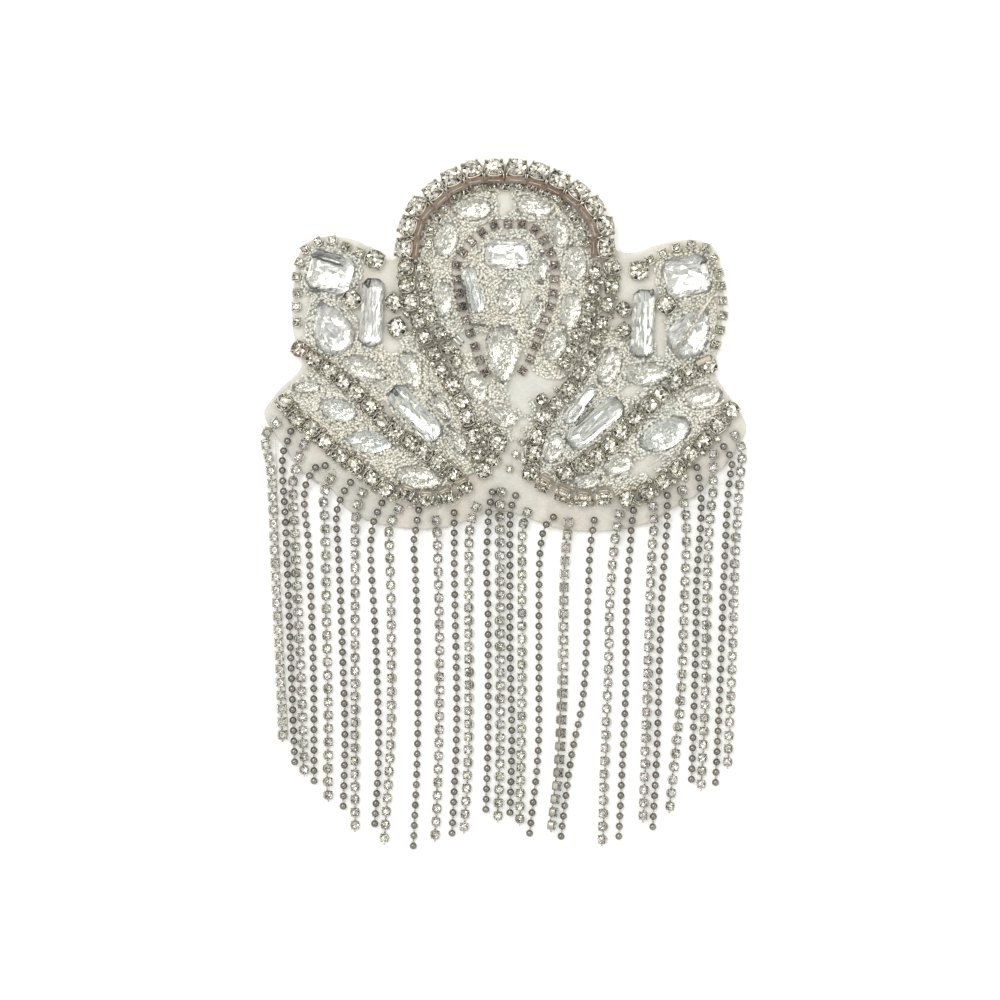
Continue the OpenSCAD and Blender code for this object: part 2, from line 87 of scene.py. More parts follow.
class Shape:
    """Points and faces, gathered into one mesh."""

    def __init__(self):
        self.co, self.faces, self.mats, self.smooth, self.count = [], [], [], [], 0

    def gather(self, co, faces, mats, smooth):
        self.co.append(co)
        self.faces.extend([tuple(i + self.count for i in f) for f in faces])
        self.mats.extend(mats)
        self.smooth.extend(smooth)
        self.count += len(co)

    def add(self, co, faces, mat=0, smooth=False):
        co = np.asarray(co, float).reshape(-1, 3)
        self.gather(co, faces, [mat] * len(faces), [smooth] * len(faces))

    def closed(self, co, faces, mat=0, smooth=False):
        """A closed shell, its faces turned outward."""
        middle = co.mean(0)
        volume = 0.0
        for f in faces:
            p = co[list(f)] - middle
            for i in range(1, len(f) - 1):
                volume += np.dot(p[0], np.cross(p[i], p[i + 1]))
        if volume < 0:
            faces = [tuple(reversed(f)) for f in faces]
        self.add(co, faces, mat, smooth)

    def stamp(self, other, turn, place, swap=None):
        """A copy of another shape, turned by a 3 x 3 matrix and moved; swap takes its foil's place."""
        mats = other.mats if swap is None else [swap if m == FOIL else m for m in other.mats]
        self.gather(np.concatenate(other.co) @ turn.T + place, other.faces, mats, other.smooth)

    def make(self, name, materials, slot, replaces=()):
        """The shape as a piece of the model."""
        me = bpy.data.meshes.new(name)
        me.from_pydata(np.concatenate(self.co) * 0.001, [], self.faces)
        me.polygons.foreach_set("material_index", self.mats)
        me.polygons.foreach_set("use_smooth", self.smooth)
        for m in materials:
            me.materials.append(m)
        me.update()
        obj = bpy.data.objects.new(name, me)
        bpy.context.scene.collection.objects.link(obj)
        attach(obj, "root")
        if replaces:
            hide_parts(*replaces)
        return obj


def unit(v):
    return np.asarray(v, float) / np.linalg.norm(v)


def heading(angle):
    """The level direction at an angle."""
    return np.array([math.cos(angle), math.sin(angle), 0])


def level(xy, z):
    """Flat points, set at a height."""
    return np.column_stack([xy, np.full(len(xy), z)])


def basis(axis, along):
    """A turn whose third column is axis, and whose first is nearest to along."""
    z = unit(axis)
    x = np.asarray(along, float) - np.dot(along, z) * z
    if np.linalg.norm(x) < 1e-6:
        x = np.cross((0, 1, 0), z)
    x /= np.linalg.norm(x)
    return np.stack([x, np.cross(z, x), z], 1)


def bands(rings, first=True, last=True, wrap=False):
    """Faces between rings of equally many points, with end caps if asked."""
    k = len(rings[0])
    faces = []
    for a in range(len(rings) if wrap else len(rings) - 1):
        b = (a + 1) % len(rings)
        for j in range(k):
            n = (j + 1) % k
            faces.append((a * k + j, a * k + n, b * k + n, b * k + j))
    if first and not wrap:
        faces.append(tuple(reversed(range(k))))
    if last and not wrap:
        faces.append(tuple((len(rings) - 1) * k + j for j in range(k)))
    return np.concatenate(rings), faces


def circle(radius, z, sides, phase=0.0, square=2.0):
    """A ring of points round +Z; square above 2 gives a rounded square."""
    t = phase + np.arange(sides) * 2 * math.pi / sides
    c, s = np.cos(t), np.sin(t)
    r = radius * (np.abs(c) ** square + np.abs(s) ** square) ** (-1 / square)
    return np.stack([r * c, r * s, np.full(sides, float(z))], 1)


def tube(shape, points, radius, sides=6, mat=0, taper=1.0):
    """A round strand along points."""
    p = np.asarray(points, float)
    d = np.gradient(p, axis=0)
    rings = []
    side = np.cross(d[0], (0.3, 0.2, 1.0))
    a = np.arange(sides) * 2 * math.pi / sides
    for i in range(len(p)):
        t = unit(d[i])
        side = unit(side - np.dot(side, t) * t)
        r = radius * (1 + (taper - 1) * i / (len(p) - 1))
        rings.append(p[i] + r * (np.outer(np.cos(a), side) + np.outer(np.sin(a), np.cross(t, side))))
    shape.closed(*bands(rings), mat, True)


def section(side, up, width, low, high, top):
    """The corners of a flat-topped section, from low to high; top is half its upper width, as a share."""
    return np.array([side * width / -2 + up * low, side * width / 2 + up * low,
                     side * width * top + up * high, side * width * -top + up * high])


def bar(shape, middle, half, corners, mat):
    """A straight bar, half its length to each side of its middle."""
    shape.closed(*bands([middle - half + corners, middle + half + corners]), mat)


def cut_glass(outline, rows):
    """A stone with table, star and kite facets; rows are (share of the outline, height), from the top."""
    m2 = len(outline)
    m = m2 // 2
    loops = [outline[0::2], outline[1::2]] + [outline] * (len(rows) - 2)
    co = np.concatenate([level(loop * share, z) for loop, (share, z) in zip(loops, rows)])
    faces = [tuple(range(m))]
    for i in range(m):
        a, b = m2 + 2 * i, m2 + 2 * i + 1
        faces += [(i, m + i, (i + 1) % m), (i, m + (i - 1) % m, a), (i, a, m + i), (m + i, a, b),
                  (m + i, b, m2 + (2 * i + 2) % m2)]
    for a in range(m2, len(co) - m2, m2):
        for j in range(m2):
            n = (j + 1) % m2
            faces.append((a + j, a + m2 + j, a + m2 + n, a + n))
    faces.append(tuple(len(co) - m2 + j for j in reversed(range(m2))))
    return co, faces


# ---- lines and outlines

def lengths(p):
    """How far along a line each of its points is."""
    return np.concatenate([[0], np.cumsum(np.linalg.norm(np.diff(p, axis=0), axis=1))])


def resample(points, spacing=None, count=None, closed=False, rounds=2):
    """Evenly spaced points along a line, its corners eased first."""
    p = np.asarray(points, float)
    for _ in range(rounds):
        q = np.roll(p, -1, axis=0) if closed else p[1:]
        a = p if closed else p[:-1]
        eased = np.stack([a * 0.75 + q * 0.25, a * 0.25 + q * 0.75], 1).reshape(-1, p.shape[1])
        p = eased if closed else np.concatenate([p[:1], eased, p[-1:]])
    if closed:
        p = np.concatenate([p, p[:1]])
    run = lengths(p)
    if count is None:
        count = max(3, int(round(run[-1] / spacing)))
    s = np.arange(count) * run[-1] / count if closed else np.linspace(0, run[-1], count)
    return np.stack([np.interp(s, run, p[:, i]) for i in range(p.shape[1])], 1)


def follow(route):
    """A function that gives the point at a length along a route, and the whole length."""
    p = resample(route, spacing=0.12)
    run = lengths(p)
    return lambda s: np.array([np.interp(s, run, p[:, a]) for a in range(3)]), run[-1]


def loop_ways(line):
    """The direction of a closed line at each point."""
    return np.roll(line, -1, axis=0) - np.roll(line, 1, axis=0)


def inside(points, ring):
    """Which points lie in a closed outline."""
    x, y = points[:, 0], points[:, 1]
    hit = np.zeros(len(points), bool)
    for (ax, ay), (bx, by) in zip(ring, np.roll(ring, -1, axis=0)):
        if ay != by:
            hit ^= ((ay > y) != (by > y)) & (x < (bx - ax) * (y - ay) / (by - ay) + ax)
    return hit


def distance(points, line, closed=True):
    """How far points are from a line."""
    ends = np.roll(line, -1, axis=0) if closed else line[1:]
    starts = line if closed else line[:-1]
    best = np.full(len(points), 1e9)
    for a, b in zip(starts, ends):
        ab = b - a
        t = np.clip(((points - a) @ ab) / max(ab @ ab, 1e-12), 0, 1)
        best = np.minimum(best, np.linalg.norm(points - a - t[:, None] * ab, axis=1))
    return best


def scatter(ring, box, step, shake, draw, margin):
    """A shaken grid of points over a box, of which those within an outline and clear of it are kept."""
    lo, hi = box.min(0), box.max(0)
    gx, gy = np.meshgrid(np.arange(lo[0], hi[0], step), np.arange(lo[1], hi[1], step))
    grid = np.column_stack([gx.ravel(), gy.ravel()])
    grid += draw.uniform(-shake, shake, grid.shape)
    grid = grid[inside(grid, ring)]
    return grid[distance(grid, ring) > margin]


def triangulate(points, rim=0):
    """Points and triangles over flat points, of which the first are the closed rim that bounds them."""
    edges = [(i, (i + 1) % rim) for i in range(rim)]
    cut = delaunay_2d_cdt([tuple(p) for p in points], edges, [], 1 if rim else 0, 1e-5)
    return np.array([tuple(v) for v in cut[0]]), cut[2]


# ---- what the frame says

def solids_of(name):
    """The separate solids of a CAD node, each (points, triangles)."""
    me = frame["nodes"][name].data
    co = np.empty(len(me.vertices) * 3)
    me.vertices.foreach_get("co", co)
    co, same = np.unique(np.round(co.reshape(-1, 3) * 1000, 4), axis=0, return_inverse=True)
    me.calc_loop_triangles()
    tri = np.empty(len(me.loop_triangles) * 3, dtype=np.int32)
    me.loop_triangles.foreach_get("vertices", tri)
    tri = same.ravel()[tri].reshape(-1, 3)
    label = np.arange(len(co))
    while True:
        low = label[tri].min(1)
        new = label.copy()
        for c in range(3):
            np.minimum.at(new, tri[:, c], low)
        new = new[new]
        if np.array_equal(new, label):
            break
        label = new
    out = []
    for k in np.unique(label):
        pick = np.flatnonzero(label == k)
        index = np.full(len(co), -1)
        index[pick] = np.arange(len(pick))
        out.append((co[pick], index[tri[label[tri[:, 0]] == k]]))
    return out


def flat_groups(points, tris):
    """Sets of points that lie on one flat face, with the face's normal and area."""
    p = points[tris]
    n = np.cross(p[:, 1] - p[:, 0], p[:, 2] - p[:, 0])
    area = np.linalg.norm(n, axis=1) / 2
    keep = area > 1e-7
    n, area, tris = n[keep] / (2 * area[keep, None]), area[keep], tris[keep]
    offset = np.einsum("ij,ij->i", n, points[tris[:, 0]])
    groups = []
    for i in range(len(tris)):
        for g in groups:
            if abs(g["d"] - offset[i]) < 0.02 and np.dot(g["n"], n[i]) > 0.9995:
                g["points"].update(tris[i])
                g["area"] += area[i]
                break
        else:
            groups.append({"n": n[i], "d": offset[i], "points": set(tris[i]), "area": area[i]})
    return groups


def read_cup(points, tris):
    """Foot centre, axis, radius and height of a cup."""
    foot = max(flat_groups(points, tris), key=lambda g: g["area"])
    axis = -foot["n"]
    centre = points[list(foot["points"])].mean(0)
    rel = points - centre
    along = rel @ axis
    radial = np.linalg.norm(rel - np.outer(along, axis), axis=1)
    return centre, axis, radial.max(), along.max()


def read_route(points, tris, across):
    """The centre line of a chain's tube, from its upper end, which is a flat ring of eight points."""
    links = [set() for _ in points]
    for a, b, c in tris:
        links[a].update((b, c))
        links[b].update((a, c))
        links[c].update((a, b))
    best = None
    for g in flat_groups(points, tris):
        ring = points[list(g["points"])]
        if len(ring) != 8 or np.linalg.norm(ring - ring.mean(0), axis=1).max() > 0.62 * across:
            continue
        if best is None or ring.mean(0)[1] > points[list(best)].mean(0)[1]:
            best = g["points"]
    seen, row, route = set(best), set(best), []
    while row:
        route.append(points[list(row)].mean(0))
        row = {j for i in row for j in links[i]} - seen
        seen |= row
    return np.array(route)


def read_stone(name):
    """Girdle outline about the middle of the stone, its place, heights and long axis."""
    points, _ = solids_of(name)[0]
    low, mid, top = np.unique(np.round(points[:, 2], 2))[[0, 1, -1]]
    ring = points[np.abs(points[:, 2] - mid) < 0.05][:, :2]
    table = points[np.abs(points[:, 2] - top) < 0.02][:, :2]
    spread = (table - table.mean(0)).std() / (ring - ring.mean(0)).std()
    middle = (table.mean(0) - spread * ring.mean(0)) / (1 - spread)
    rel = ring - middle
    rel = rel[np.argsort(np.arctan2(rel[:, 1], rel[:, 0]))]
    long = np.linalg.eigh(np.cov((rel - rel.mean(0)).T))[1][:, 1]
    if np.dot(rel[np.argmax(np.linalg.norm(rel, axis=1))], long) < 0:
        long = -long
    return {"name": name, "ring": rel, "middle": middle, "z": low, "h": top - low, "long": long}


def felt_outline():
    """The outline of the CAD felt, anticlockwise, and its thickness."""
    points, tris = solids_of("felt_backing")[0]
    low = points[:, 2] < points[:, 2].min() + 0.1
    edges = {pair for a, b, c in tris[low[tris].all(1)] for pair in ((a, b), (b, c), (c, a))}
    step = {a: b for a, b in edges if (b, a) not in edges}
    loop = [min(step)]
    while step[loop[-1]] != loop[0]:
        loop.append(step[loop[-1]])
    ring = points[loop][:, :2]
    x, y = ring.T
    if np.dot(x, np.roll(y, -1)) - np.dot(y, np.roll(x, -1)) < 0:
        ring = ring[::-1]
    return ring, points[:, 2].max()


# ---- materials

def material(name, **sockets):
    """A node material; the sockets are the shader's own, with _ for a space."""
    m = bpy.data.materials.new(name)
    m.use_nodes = True
    bsdf = m.node_tree.nodes["Principled BSDF"]
    for key, value in sockets.items():
        bsdf.inputs[key.replace("_", " ")].default_value = value
    return m, m.node_tree, bsdf


def node(tree, kind, **values):
    """A shader node; each value goes to its input of that name, or else to its setting."""
    n = tree.nodes.new("ShaderNode" + kind)
    for key, value in values.items():
        if key in n.inputs:
            n.inputs[key].default_value = value
        else:
            setattr(n, key, value)
    return n


def ramp(tree, source, stops):
    """Colours between stops."""
    r = node(tree, "ValToRGB")
    while len(r.color_ramp.elements) < len(stops):
        r.color_ramp.elements.new(0.5)
    for e, (position, colour) in zip(r.color_ramp.elements, stops):
        e.position = position
        e.color = (*colour, 1.0)
    tree.links.new(source, r.inputs["Fac"])
    return r.outputs["Color"]


def coordinate(tree, kind, target):
    tree.links.new(node(tree, "TexCoord").outputs[kind], target.inputs["Vector"])
    return target


def speckle(tree, scale, detail=4.0, rough=0.6, distortion=0.0):
    """Noise in the object's own space; scale is waves to a metre."""
    n = node(tree, "TexNoise", Scale=scale, Detail=detail, Roughness=rough, Distortion=distortion)
    return coordinate(tree, "Object", n).outputs["Fac"]


def multiply(tree, a, b, factor=1.0):
    """One colour times another."""
    mix = node(tree, "Mix", data_type="RGBA", blend_type="MULTIPLY", Factor=factor)
    tree.links.new(a, mix.inputs["A"])
    tree.links.new(b, mix.inputs["B"])
    return mix.outputs["Result"]


def bump(tree, bsdf, height, strength, depth, before=None):
    b = node(tree, "Bump", Strength=strength, Distance=depth)
    tree.links.new(height, b.inputs["Height"])
    if before is not None:
        tree.links.new(before, b.inputs["Normal"])
    tree.links.new(b.outputs["Normal"], bsdf.inputs["Normal"])
    return b.outputs["Normal"]


def by_island(tree):
    return node(tree, "NewGeometry").outputs["Random Per Island"]


def vary_roughness(tree, bsdf, source, low, high):
    r = node(tree, "MapRange", **{"To Min": low, "To Max": high})
    tree.links.new(source, r.inputs["Value"])
    tree.links.new(r.outputs["Result"], bsdf.inputs["Roughness"])


def felt_material():
    """White felt: fine hair, wide tints, and colour that grows darker towards the bottom of the badge."""
    m, t, b = material("white_felt", Roughness=0.95, Sheen_Weight=0.25, Sheen_Roughness=0.5)
    fine = ramp(t, speckle(t, 700, 6, 0.7, 1.5),
                [(0.3, (0.73, 0.72, 0.68)), (0.5, (0.80, 0.79, 0.75)), (0.7, (0.86, 0.855, 0.82))])
    wide = ramp(t, speckle(t, 75, 3, 0.6, 0.5),
                [(0.32, (0.96, 0.91, 0.88)), (0.5, (1.0, 0.995, 0.985)), (0.68, (0.91, 0.935, 0.935))])
    place = coordinate(t, "Object", node(t, "SeparateXYZ"))
    # The felt's colour grows darker towards the bottom of the badge.
    height = node(t, "MapRange", **{"From Min": -0.045, "From Max": 0.030})
    t.links.new(place.outputs["Y"], height.inputs["Value"])
    darker_below = ramp(t, height.outputs["Result"],
               [(0.0, (0.82, 0.805, 0.785)), (0.45, (0.87, 0.865, 0.85)), (0.8, (0.95, 0.945, 0.92))])
    t.links.new(multiply(t, multiply(t, fine, wide), darker_below), b.inputs["Base Color"])
    first = bump(t, b, speckle(t, 1400, 6, 0.7, 2.5), 0.6, 0.0003)
    bump(t, b, speckle(t, 5200, 3, 0.6, 1.0), 0.4, 0.0001, first)
    return m


def glass_material(name, colour, rough, wave, ior):
    m, t, b = material(name, Base_Color=(*colour, 1), Transmission_Weight=1.0, IOR=ior)
    vary_roughness(t, b, speckle(t, 900, 3), rough * 0.5, rough * 1.5)
    if wave:
        bump(t, b, speckle(t, 260, 2), wave, 0.0004)
    return m


def foil_material(name, stops, rough, cell, depth, strength, tints, grain):
    """Crinkled silver foil behind a stone; grain is how dark its fine specks are."""
    m, t, b = material(name, Metallic=1.0, Roughness=rough)
    colour = multiply(t, ramp(t, speckle(t, 330, 5, 0.65, 0.8), tints), ramp(t, by_island(t), stops))
    fine = ramp(t, speckle(t, 1500, 4, 0.7, 1.2), [(0.38, (grain, grain, grain * 0.97)), (0.58, (1, 1, 1))])
    t.links.new(multiply(t, colour, fine), b.inputs["Base Color"])
    cells = coordinate(t, "Object", node(t, "TexVoronoi", Scale=cell))
    first = bump(t, b, cells.outputs["Distance"], strength, depth)
    bump(t, b, speckle(t, cell * 2.6, 4, 0.6, 0.6), strength * 0.6, depth * 0.5, first)
    return m


def plated_material(name, stops, rough, wear):
    m, t, b = material(name, Metallic=1.0)
    dirt = ramp(t, speckle(t, 800, 5, 0.7, 0.5), [(0.35, (0.25, 0.22, 0.18)), (0.6, (1, 1, 1))])
    t.links.new(multiply(t, ramp(t, by_island(t), stops), dirt, wear), b.inputs["Base Color"])
    vary_roughness(t, b, speckle(t, 1800, 4), rough * 0.6, rough * 1.4)
    bump(t, b, speckle(t, 6000, 3), 0.12, 0.00004)
    return m


def mottled(name, grain, stops, relief=None, **sockets):
    """Colour from noise where grain gives it, or else from loose piece to loose piece."""
    m, t, b = material(name, **sockets)
    source = speckle(t, *grain) if grain else by_island(t)
    t.links.new(ramp(t, source, stops), b.inputs["Base Color"])
    if relief:
        scale, detail, strength, depth = relief
        bump(t, b, speckle(t, scale, detail), strength, depth)
    return m


def tinted_foil(name, stops, rough):
    """Silver foil whose tint changes from facet to facet."""
    return mottled(name, None, stops, (900, 3, 0.10, 0.0002), Metallic=1.0, Roughness=rough)


def bead_material():
    m, t, b = material("silver_lined_bead", Metallic=0.25, Roughness=0.42, Coat_Weight=0.35,
                       Coat_Roughness=0.06)
    each = ramp(t, by_island(t),
                [(0.0, (0.53, 0.52, 0.46)), (0.18, (0.65, 0.64, 0.58)), (0.5, (0.76, 0.75, 0.69)),
                 (0.75, (0.84, 0.80, 0.75)), (1.0, (0.90, 0.90, 0.86))])
    wide = ramp(t, speckle(t, 42, 2, 0.5, 0.4),
                [(0.35, (0.945, 0.942, 0.90)), (0.5, (0.99, 0.99, 0.965)), (0.62, (0.93, 0.96, 0.96))])
    t.links.new(multiply(t, each, wide), b.inputs["Base Color"])
    bump(t, b, speckle(t, 2600, 3), 0.25, 0.0001)
    return m


FELT = felt_material()
FIBRE = mottled("felt_fibre", None, [(0.0, (0.70, 0.69, 0.65)), (1.0, (0.86, 0.85, 0.82))], Roughness=0.8,
                Sheen_Weight=0.3)
CLEAR = glass_material("clear_stone", (0.98, 0.985, 0.985), 0.03, 0.05, 1.49)
CHATON = glass_material("chaton_glass", (0.98, 0.98, 0.965), 0.02, 0.0, 1.55)
BEAD = glass_material("bead_glass", (0.98, 0.98, 0.97), 0.02, 0.0, 1.5)

COOL = [(0.3, (0.84, 0.85, 0.835)), (0.45, (0.93, 0.935, 0.92)), (0.6, (0.98, 0.975, 0.945)),
        (0.75, (0.90, 0.89, 0.865))]
WARM = [(0.3, (0.86, 0.85, 0.82)), (0.45, (0.95, 0.94, 0.91)), (0.6, (0.98, 0.97, 0.93)),
        (0.75, (0.90, 0.85, 0.82))]
PLAIN_FOIL = foil_material("plain_foil", [(0.0, (0.64, 0.65, 0.66)), (0.35, (0.84, 0.84, 0.84)),
                                          (0.6, (0.98, 0.98, 0.97))], 0.37, 520, 0.0003, 0.16, COOL, 0.82)
ICE_FOIL = foil_material("ice_foil", [(0.0, (0.54, 0.53, 0.49)), (0.4, (0.74, 0.73, 0.69)),
                                      (0.8, (0.96, 0.96, 0.93))], 0.34, 1500, 0.0002, 0.35, WARM, 0.74)
BLUE_FOIL = foil_material("blue_foil", [(0.0, (0.56, 0.59, 0.58)), (0.35, (0.76, 0.785, 0.775)),
                                        (0.7, (0.95, 0.96, 0.94))], 0.37, 700, 0.0003, 0.22, COOL, 0.78)

CHATON_FOIL = tinted_foil("chaton_foil", [(0.0, (0.27, 0.26, 0.20)), (0.18, (0.44, 0.43, 0.34)),
                                          (0.38, (0.70, 0.69, 0.59)), (0.6, (0.90, 0.88, 0.80)),
                                          (0.8, (0.97, 0.95, 0.90)), (1.0, (1.0, 1.0, 0.97))], 0.12)
RING_FOIL = tinted_foil("ring_foil", [(0.0, (0.30, 0.29, 0.25)), (0.4, (0.66, 0.64, 0.58)),
                                      (0.7, (0.92, 0.88, 0.85)), (1.0, (1.0, 1.0, 0.97))], 0.15)
DIM_FOIL = tinted_foil("dim_foil", [(0.0, (0.20, 0.18, 0.16)), (0.6, (0.44, 0.41, 0.38)),
                                    (0.85, (0.72, 0.68, 0.65)), (1.0, (0.95, 0.92, 0.90))], 0.2)
SPARK_FOIL = tinted_foil("dome_foil", [(0.0, (0.46, 0.44, 0.36)), (0.2, (0.64, 0.62, 0.52)),
                                       (0.4, (0.85, 0.81, 0.73)), (0.7, (0.98, 0.94, 0.89)),
                                       (1.0, (1.0, 1.0, 0.97))], 0.14)
COPPER_FOIL = tinted_foil("copper_foil", [(0.0, (0.40, 0.31, 0.24)), (0.5, (0.68, 0.58, 0.49)),
                                          (1.0, (0.94, 0.88, 0.81))], 0.16)
LINING = tinted_foil("bead_lining", [(0.0, (0.70, 0.69, 0.64)), (0.3, (0.88, 0.87, 0.82)),
                                     (1.0, (0.97, 0.96, 0.93))], 0.3)
CHAIN_TINTS = {"clear": (0.99, 0.99, 0.96), "green": (0.93, 0.94, 0.84), "rose": (0.97, 0.92, 0.92),
               "grey": (0.78, 0.77, 0.74)}
CHAIN_FOILS = [tinted_foil("chain_foil_" + name, [(stop, tuple(share * c for c in tint)) for stop, share in
                                                  ((0.0, 0.48), (0.35, 0.66), (0.7, 0.86), (1.0, 1.0))], 0.18)
               for name, tint in CHAIN_TINTS.items()]

PLATE = plated_material("claw_plate", [(0, (0.50, 0.48, 0.39)), (0.5, (0.66, 0.64, 0.55)),
                                       (1, (0.80, 0.77, 0.69))], 0.30, 0.30)
# A pale plate for painted highlight lines on the cups' bars and for claws painted bright as highlights.
HIGHLIGHT_PLATE = plated_material("highlight_plate", [(0, (0.78, 0.76, 0.70)), (1, (0.96, 0.95, 0.90))], 0.22, 0.15)
ROSY = plated_material("rosy_plate", [(0, (0.38, 0.28, 0.22)), (0.5, (0.50, 0.39, 0.32)),
                                      (1, (0.58, 0.48, 0.41))], 0.5, 0.35)
BEIGE = plated_material("beige_plate", [(0, (0.54, 0.47, 0.38)), (1, (0.66, 0.59, 0.49))], 0.42, 0.3)
UMBER = plated_material("umber_plate", [(0, (0.40, 0.34, 0.31)), (1, (0.56, 0.50, 0.45))], 0.36, 0.4)
NICKEL = plated_material("ball_nickel", [(0, (0.22, 0.21, 0.19)), (1, (0.31, 0.295, 0.27))], 0.19, 0.2)
WIRE = plated_material("link_wire", [(0, (0.42, 0.41, 0.39)), (1, (0.55, 0.54, 0.52))], 0.35, 0.3)
CHAIN_PLATE = plated_material("chain_plate", [(0, (0.40, 0.39, 0.34)), (0.5, (0.53, 0.51, 0.46)),
                                              (1, (0.66, 0.64, 0.58))], 0.32, 0.2)

SILVERED = bead_material()
BED = mottled("bead_bed", (1900, 3), [(0.35, (0.62, 0.61, 0.54)), (0.65, (0.80, 0.79, 0.73))],
              (3000, 3, 0.3, 0.0001), Roughness=0.5)
TAPE = mottled("rosy_tape", (420, 5, 0.7, 0.8), [(0.3, (0.34, 0.25, 0.20)), (0.5, (0.48, 0.38, 0.31)),
                                                 (0.7, (0.58, 0.49, 0.41))], (1500, 4, 0.5, 0.0002),
               Metallic=0.3, Roughness=0.5)
# Near-black, painted shade for the sewing holes at the stones' ends.
HOLE_SHADE = mottled("sewing_hole_shade", (900, 3), [(0.35, (0.07, 0.07, 0.065)), (0.65, (0.20, 0.20, 0.19))],
               Roughness=0.3, Metallic=0.6)
THREAD = mottled("beige_thread", (2500, 3), [(0.35, (0.62, 0.56, 0.49)), (0.65, (0.84, 0.79, 0.71))],
                 (6000, 2, 0.3, 0.0001), Roughness=0.6, Sheen_Weight=0.2)

# ---- felt

OUTLINE, FELT_T = felt_outline()
RIM_STEP, FACE_STEP = 0.7, 0.95  # between the points along the felt's rim and over its face
CUP_REACH, CUP_COVER, MOST_PULL = 5.5, 1.7, 2.4  # where the dome's cups cover the rim, and its way in there
WING_X, WING_LOW, WING_HIGH, WING_PULL = 50, 3, 22, 0.7  # the rim at the right wing, and how far it goes in


def soft(x, y, scale, seed=0.0):
    """Smooth noise over the badge."""
    return noise.noise(Vector((x * scale, y * scale, seed)))


def build_felt():
    """The felt as one closed mesh with a soft rim; its edge and the way inwards are given too."""
    edge = resample(OUTLINE, spacing=RIM_STEP, closed=True, rounds=1)
    way = loop_ways(edge)
    inward = np.stack([-way[:, 1], way[:, 0]], 1) / np.linalg.norm(way, axis=1)[:, None]
    wave = np.array([0.10 * soft(x, y, 0.9) + 0.06 * soft(x, y, 2.4, 3.0) for x, y in edge])
    # The felt ends under the dome's cups, and a little further in at the right wing.
    under = distance(edge, DOME_LINE, False)
    pull = np.where(under < CUP_REACH, np.clip(under - CUP_COVER, 0, MOST_PULL), 0.0)
    wing = (edge[:, 0] > WING_X) & (edge[:, 1] > WING_LOW) & (edge[:, 1] < WING_HIGH)
    pull += np.where(wing, WING_PULL, 0.0)
    for _ in range(3):
        pull = (np.roll(pull, 1) + pull * 2 + np.roll(pull, -1)) / 4
    wave += pull
    t, k = FELT_T, len(edge)
    loops = [level(edge + inward * (d + 0.08 + wave)[:, None], z)
             for d, z in ((0.22, 0.0), (0.06, 0.12), (0.0, 0.5), (0.0, t - 0.6), (0.07, t - 0.25),
                          (0.25, t - 0.07), (0.55, t))]
    inner = loops[-1][:, :2]
    grid = scatter(inner, OUTLINE, FACE_STEP, 0.3, np.random.default_rng(11), 0.5)
    face, top = triangulate(np.concatenate([inner, grid]), k)
    back, low = triangulate(loops[0][:, :2], k)
    z = np.array([t + 0.05 * soft(x, y, 0.25, 5.0) + 0.035 * soft(x, y, 0.8, 9.0) for x, y in face])
    z[:k] = t
    shape = Shape()
    shape.add(*bands(loops, first=False, last=False), 0, True)
    shape.add(np.column_stack([face, z]), top, 0, True)
    shape.add(level(back, 0.0), [tuple(reversed(f)) for f in low], 0, True)
    obj = shape.make("felt_badge", [FELT], "felt", ["felt_backing"])
    bm = bmesh.new()
    bm.from_mesh(obj.data)
    bmesh.ops.remove_doubles(bm, verts=bm.verts, dist=1e-6)
    bmesh.ops.recalc_face_normals(bm, faces=bm.faces)
    bm.to_mesh(obj.data)
    bm.free()
    return obj, edge + inward * pull[:, None], inward


DOME = sorted((read_cup(p, t) for p, t in solids_of("dome_cups")),
              key=lambda c: -math.atan2(c[0][1] - 18, c[0][0]))
DOME_FEET = np.array([c[:2] for c, _, _, _ in DOME])
DOME_LINE = np.array([(c + a * h * 0.5)[:2] for c, a, _, h in DOME])
felt, EDGE, INWARD = build_felt()

# ---- cut stones

STONES = [read_stone(s["node"]) for s in frame["record"]["subparts"] if s["material_slot"] == "stone"]
RINGS = [s["ring"] + s["middle"] for s in STONES]
STEP_CUT = ("octagon", "baguette", "bar_", "centre_bar", "cushion")
GIRDLE = 0.36  # the girdle's height, as a share of the stone's
# How the foil's facets are cut, by the first key in the stone's name: their size, how much longer
# they are than wide, the share that sparkles, and the slope of the others.
LOOKS = (("octagon", (0.85, 2.4, 0.06, 0.18)), ("cushion", (0.85, 2.4, 0.06, 0.18)),
         ("wing_baguette", (0.42, 6.0, 0.10, 0.20)), ("centre_bar", (0.95, 7.0, 0.0, 0.09)),
         ("baguette", (0.62, 5.0, 0.05, 0.15)), ("bar_", (0.62, 5.0, 0.05, 0.15)),
         ("wing", (0.9, 1.4, 0.06, 0.18)), ("", (0.45, 1.5, 0.14, 0.24)))
# The stones with another foil than ICE_FOIL.
FOILS = {**dict.fromkeys(("wing_octagon_left", "wing_drop_left", "wing_baguette_left", "wing_octagon_right",
                          "wing_drop_right", "centre_cushion"), PLAIN_FOIL),
         **dict.fromkeys(("wing_baguette_right", "centre_bar", "scroll_baguette_left",
                          "scroll_baguette_right", "scroll_bar_right", "lobe_oval_left",
                          "lobe_marquise_left", "lobe_oval_right"), BLUE_FOIL)}
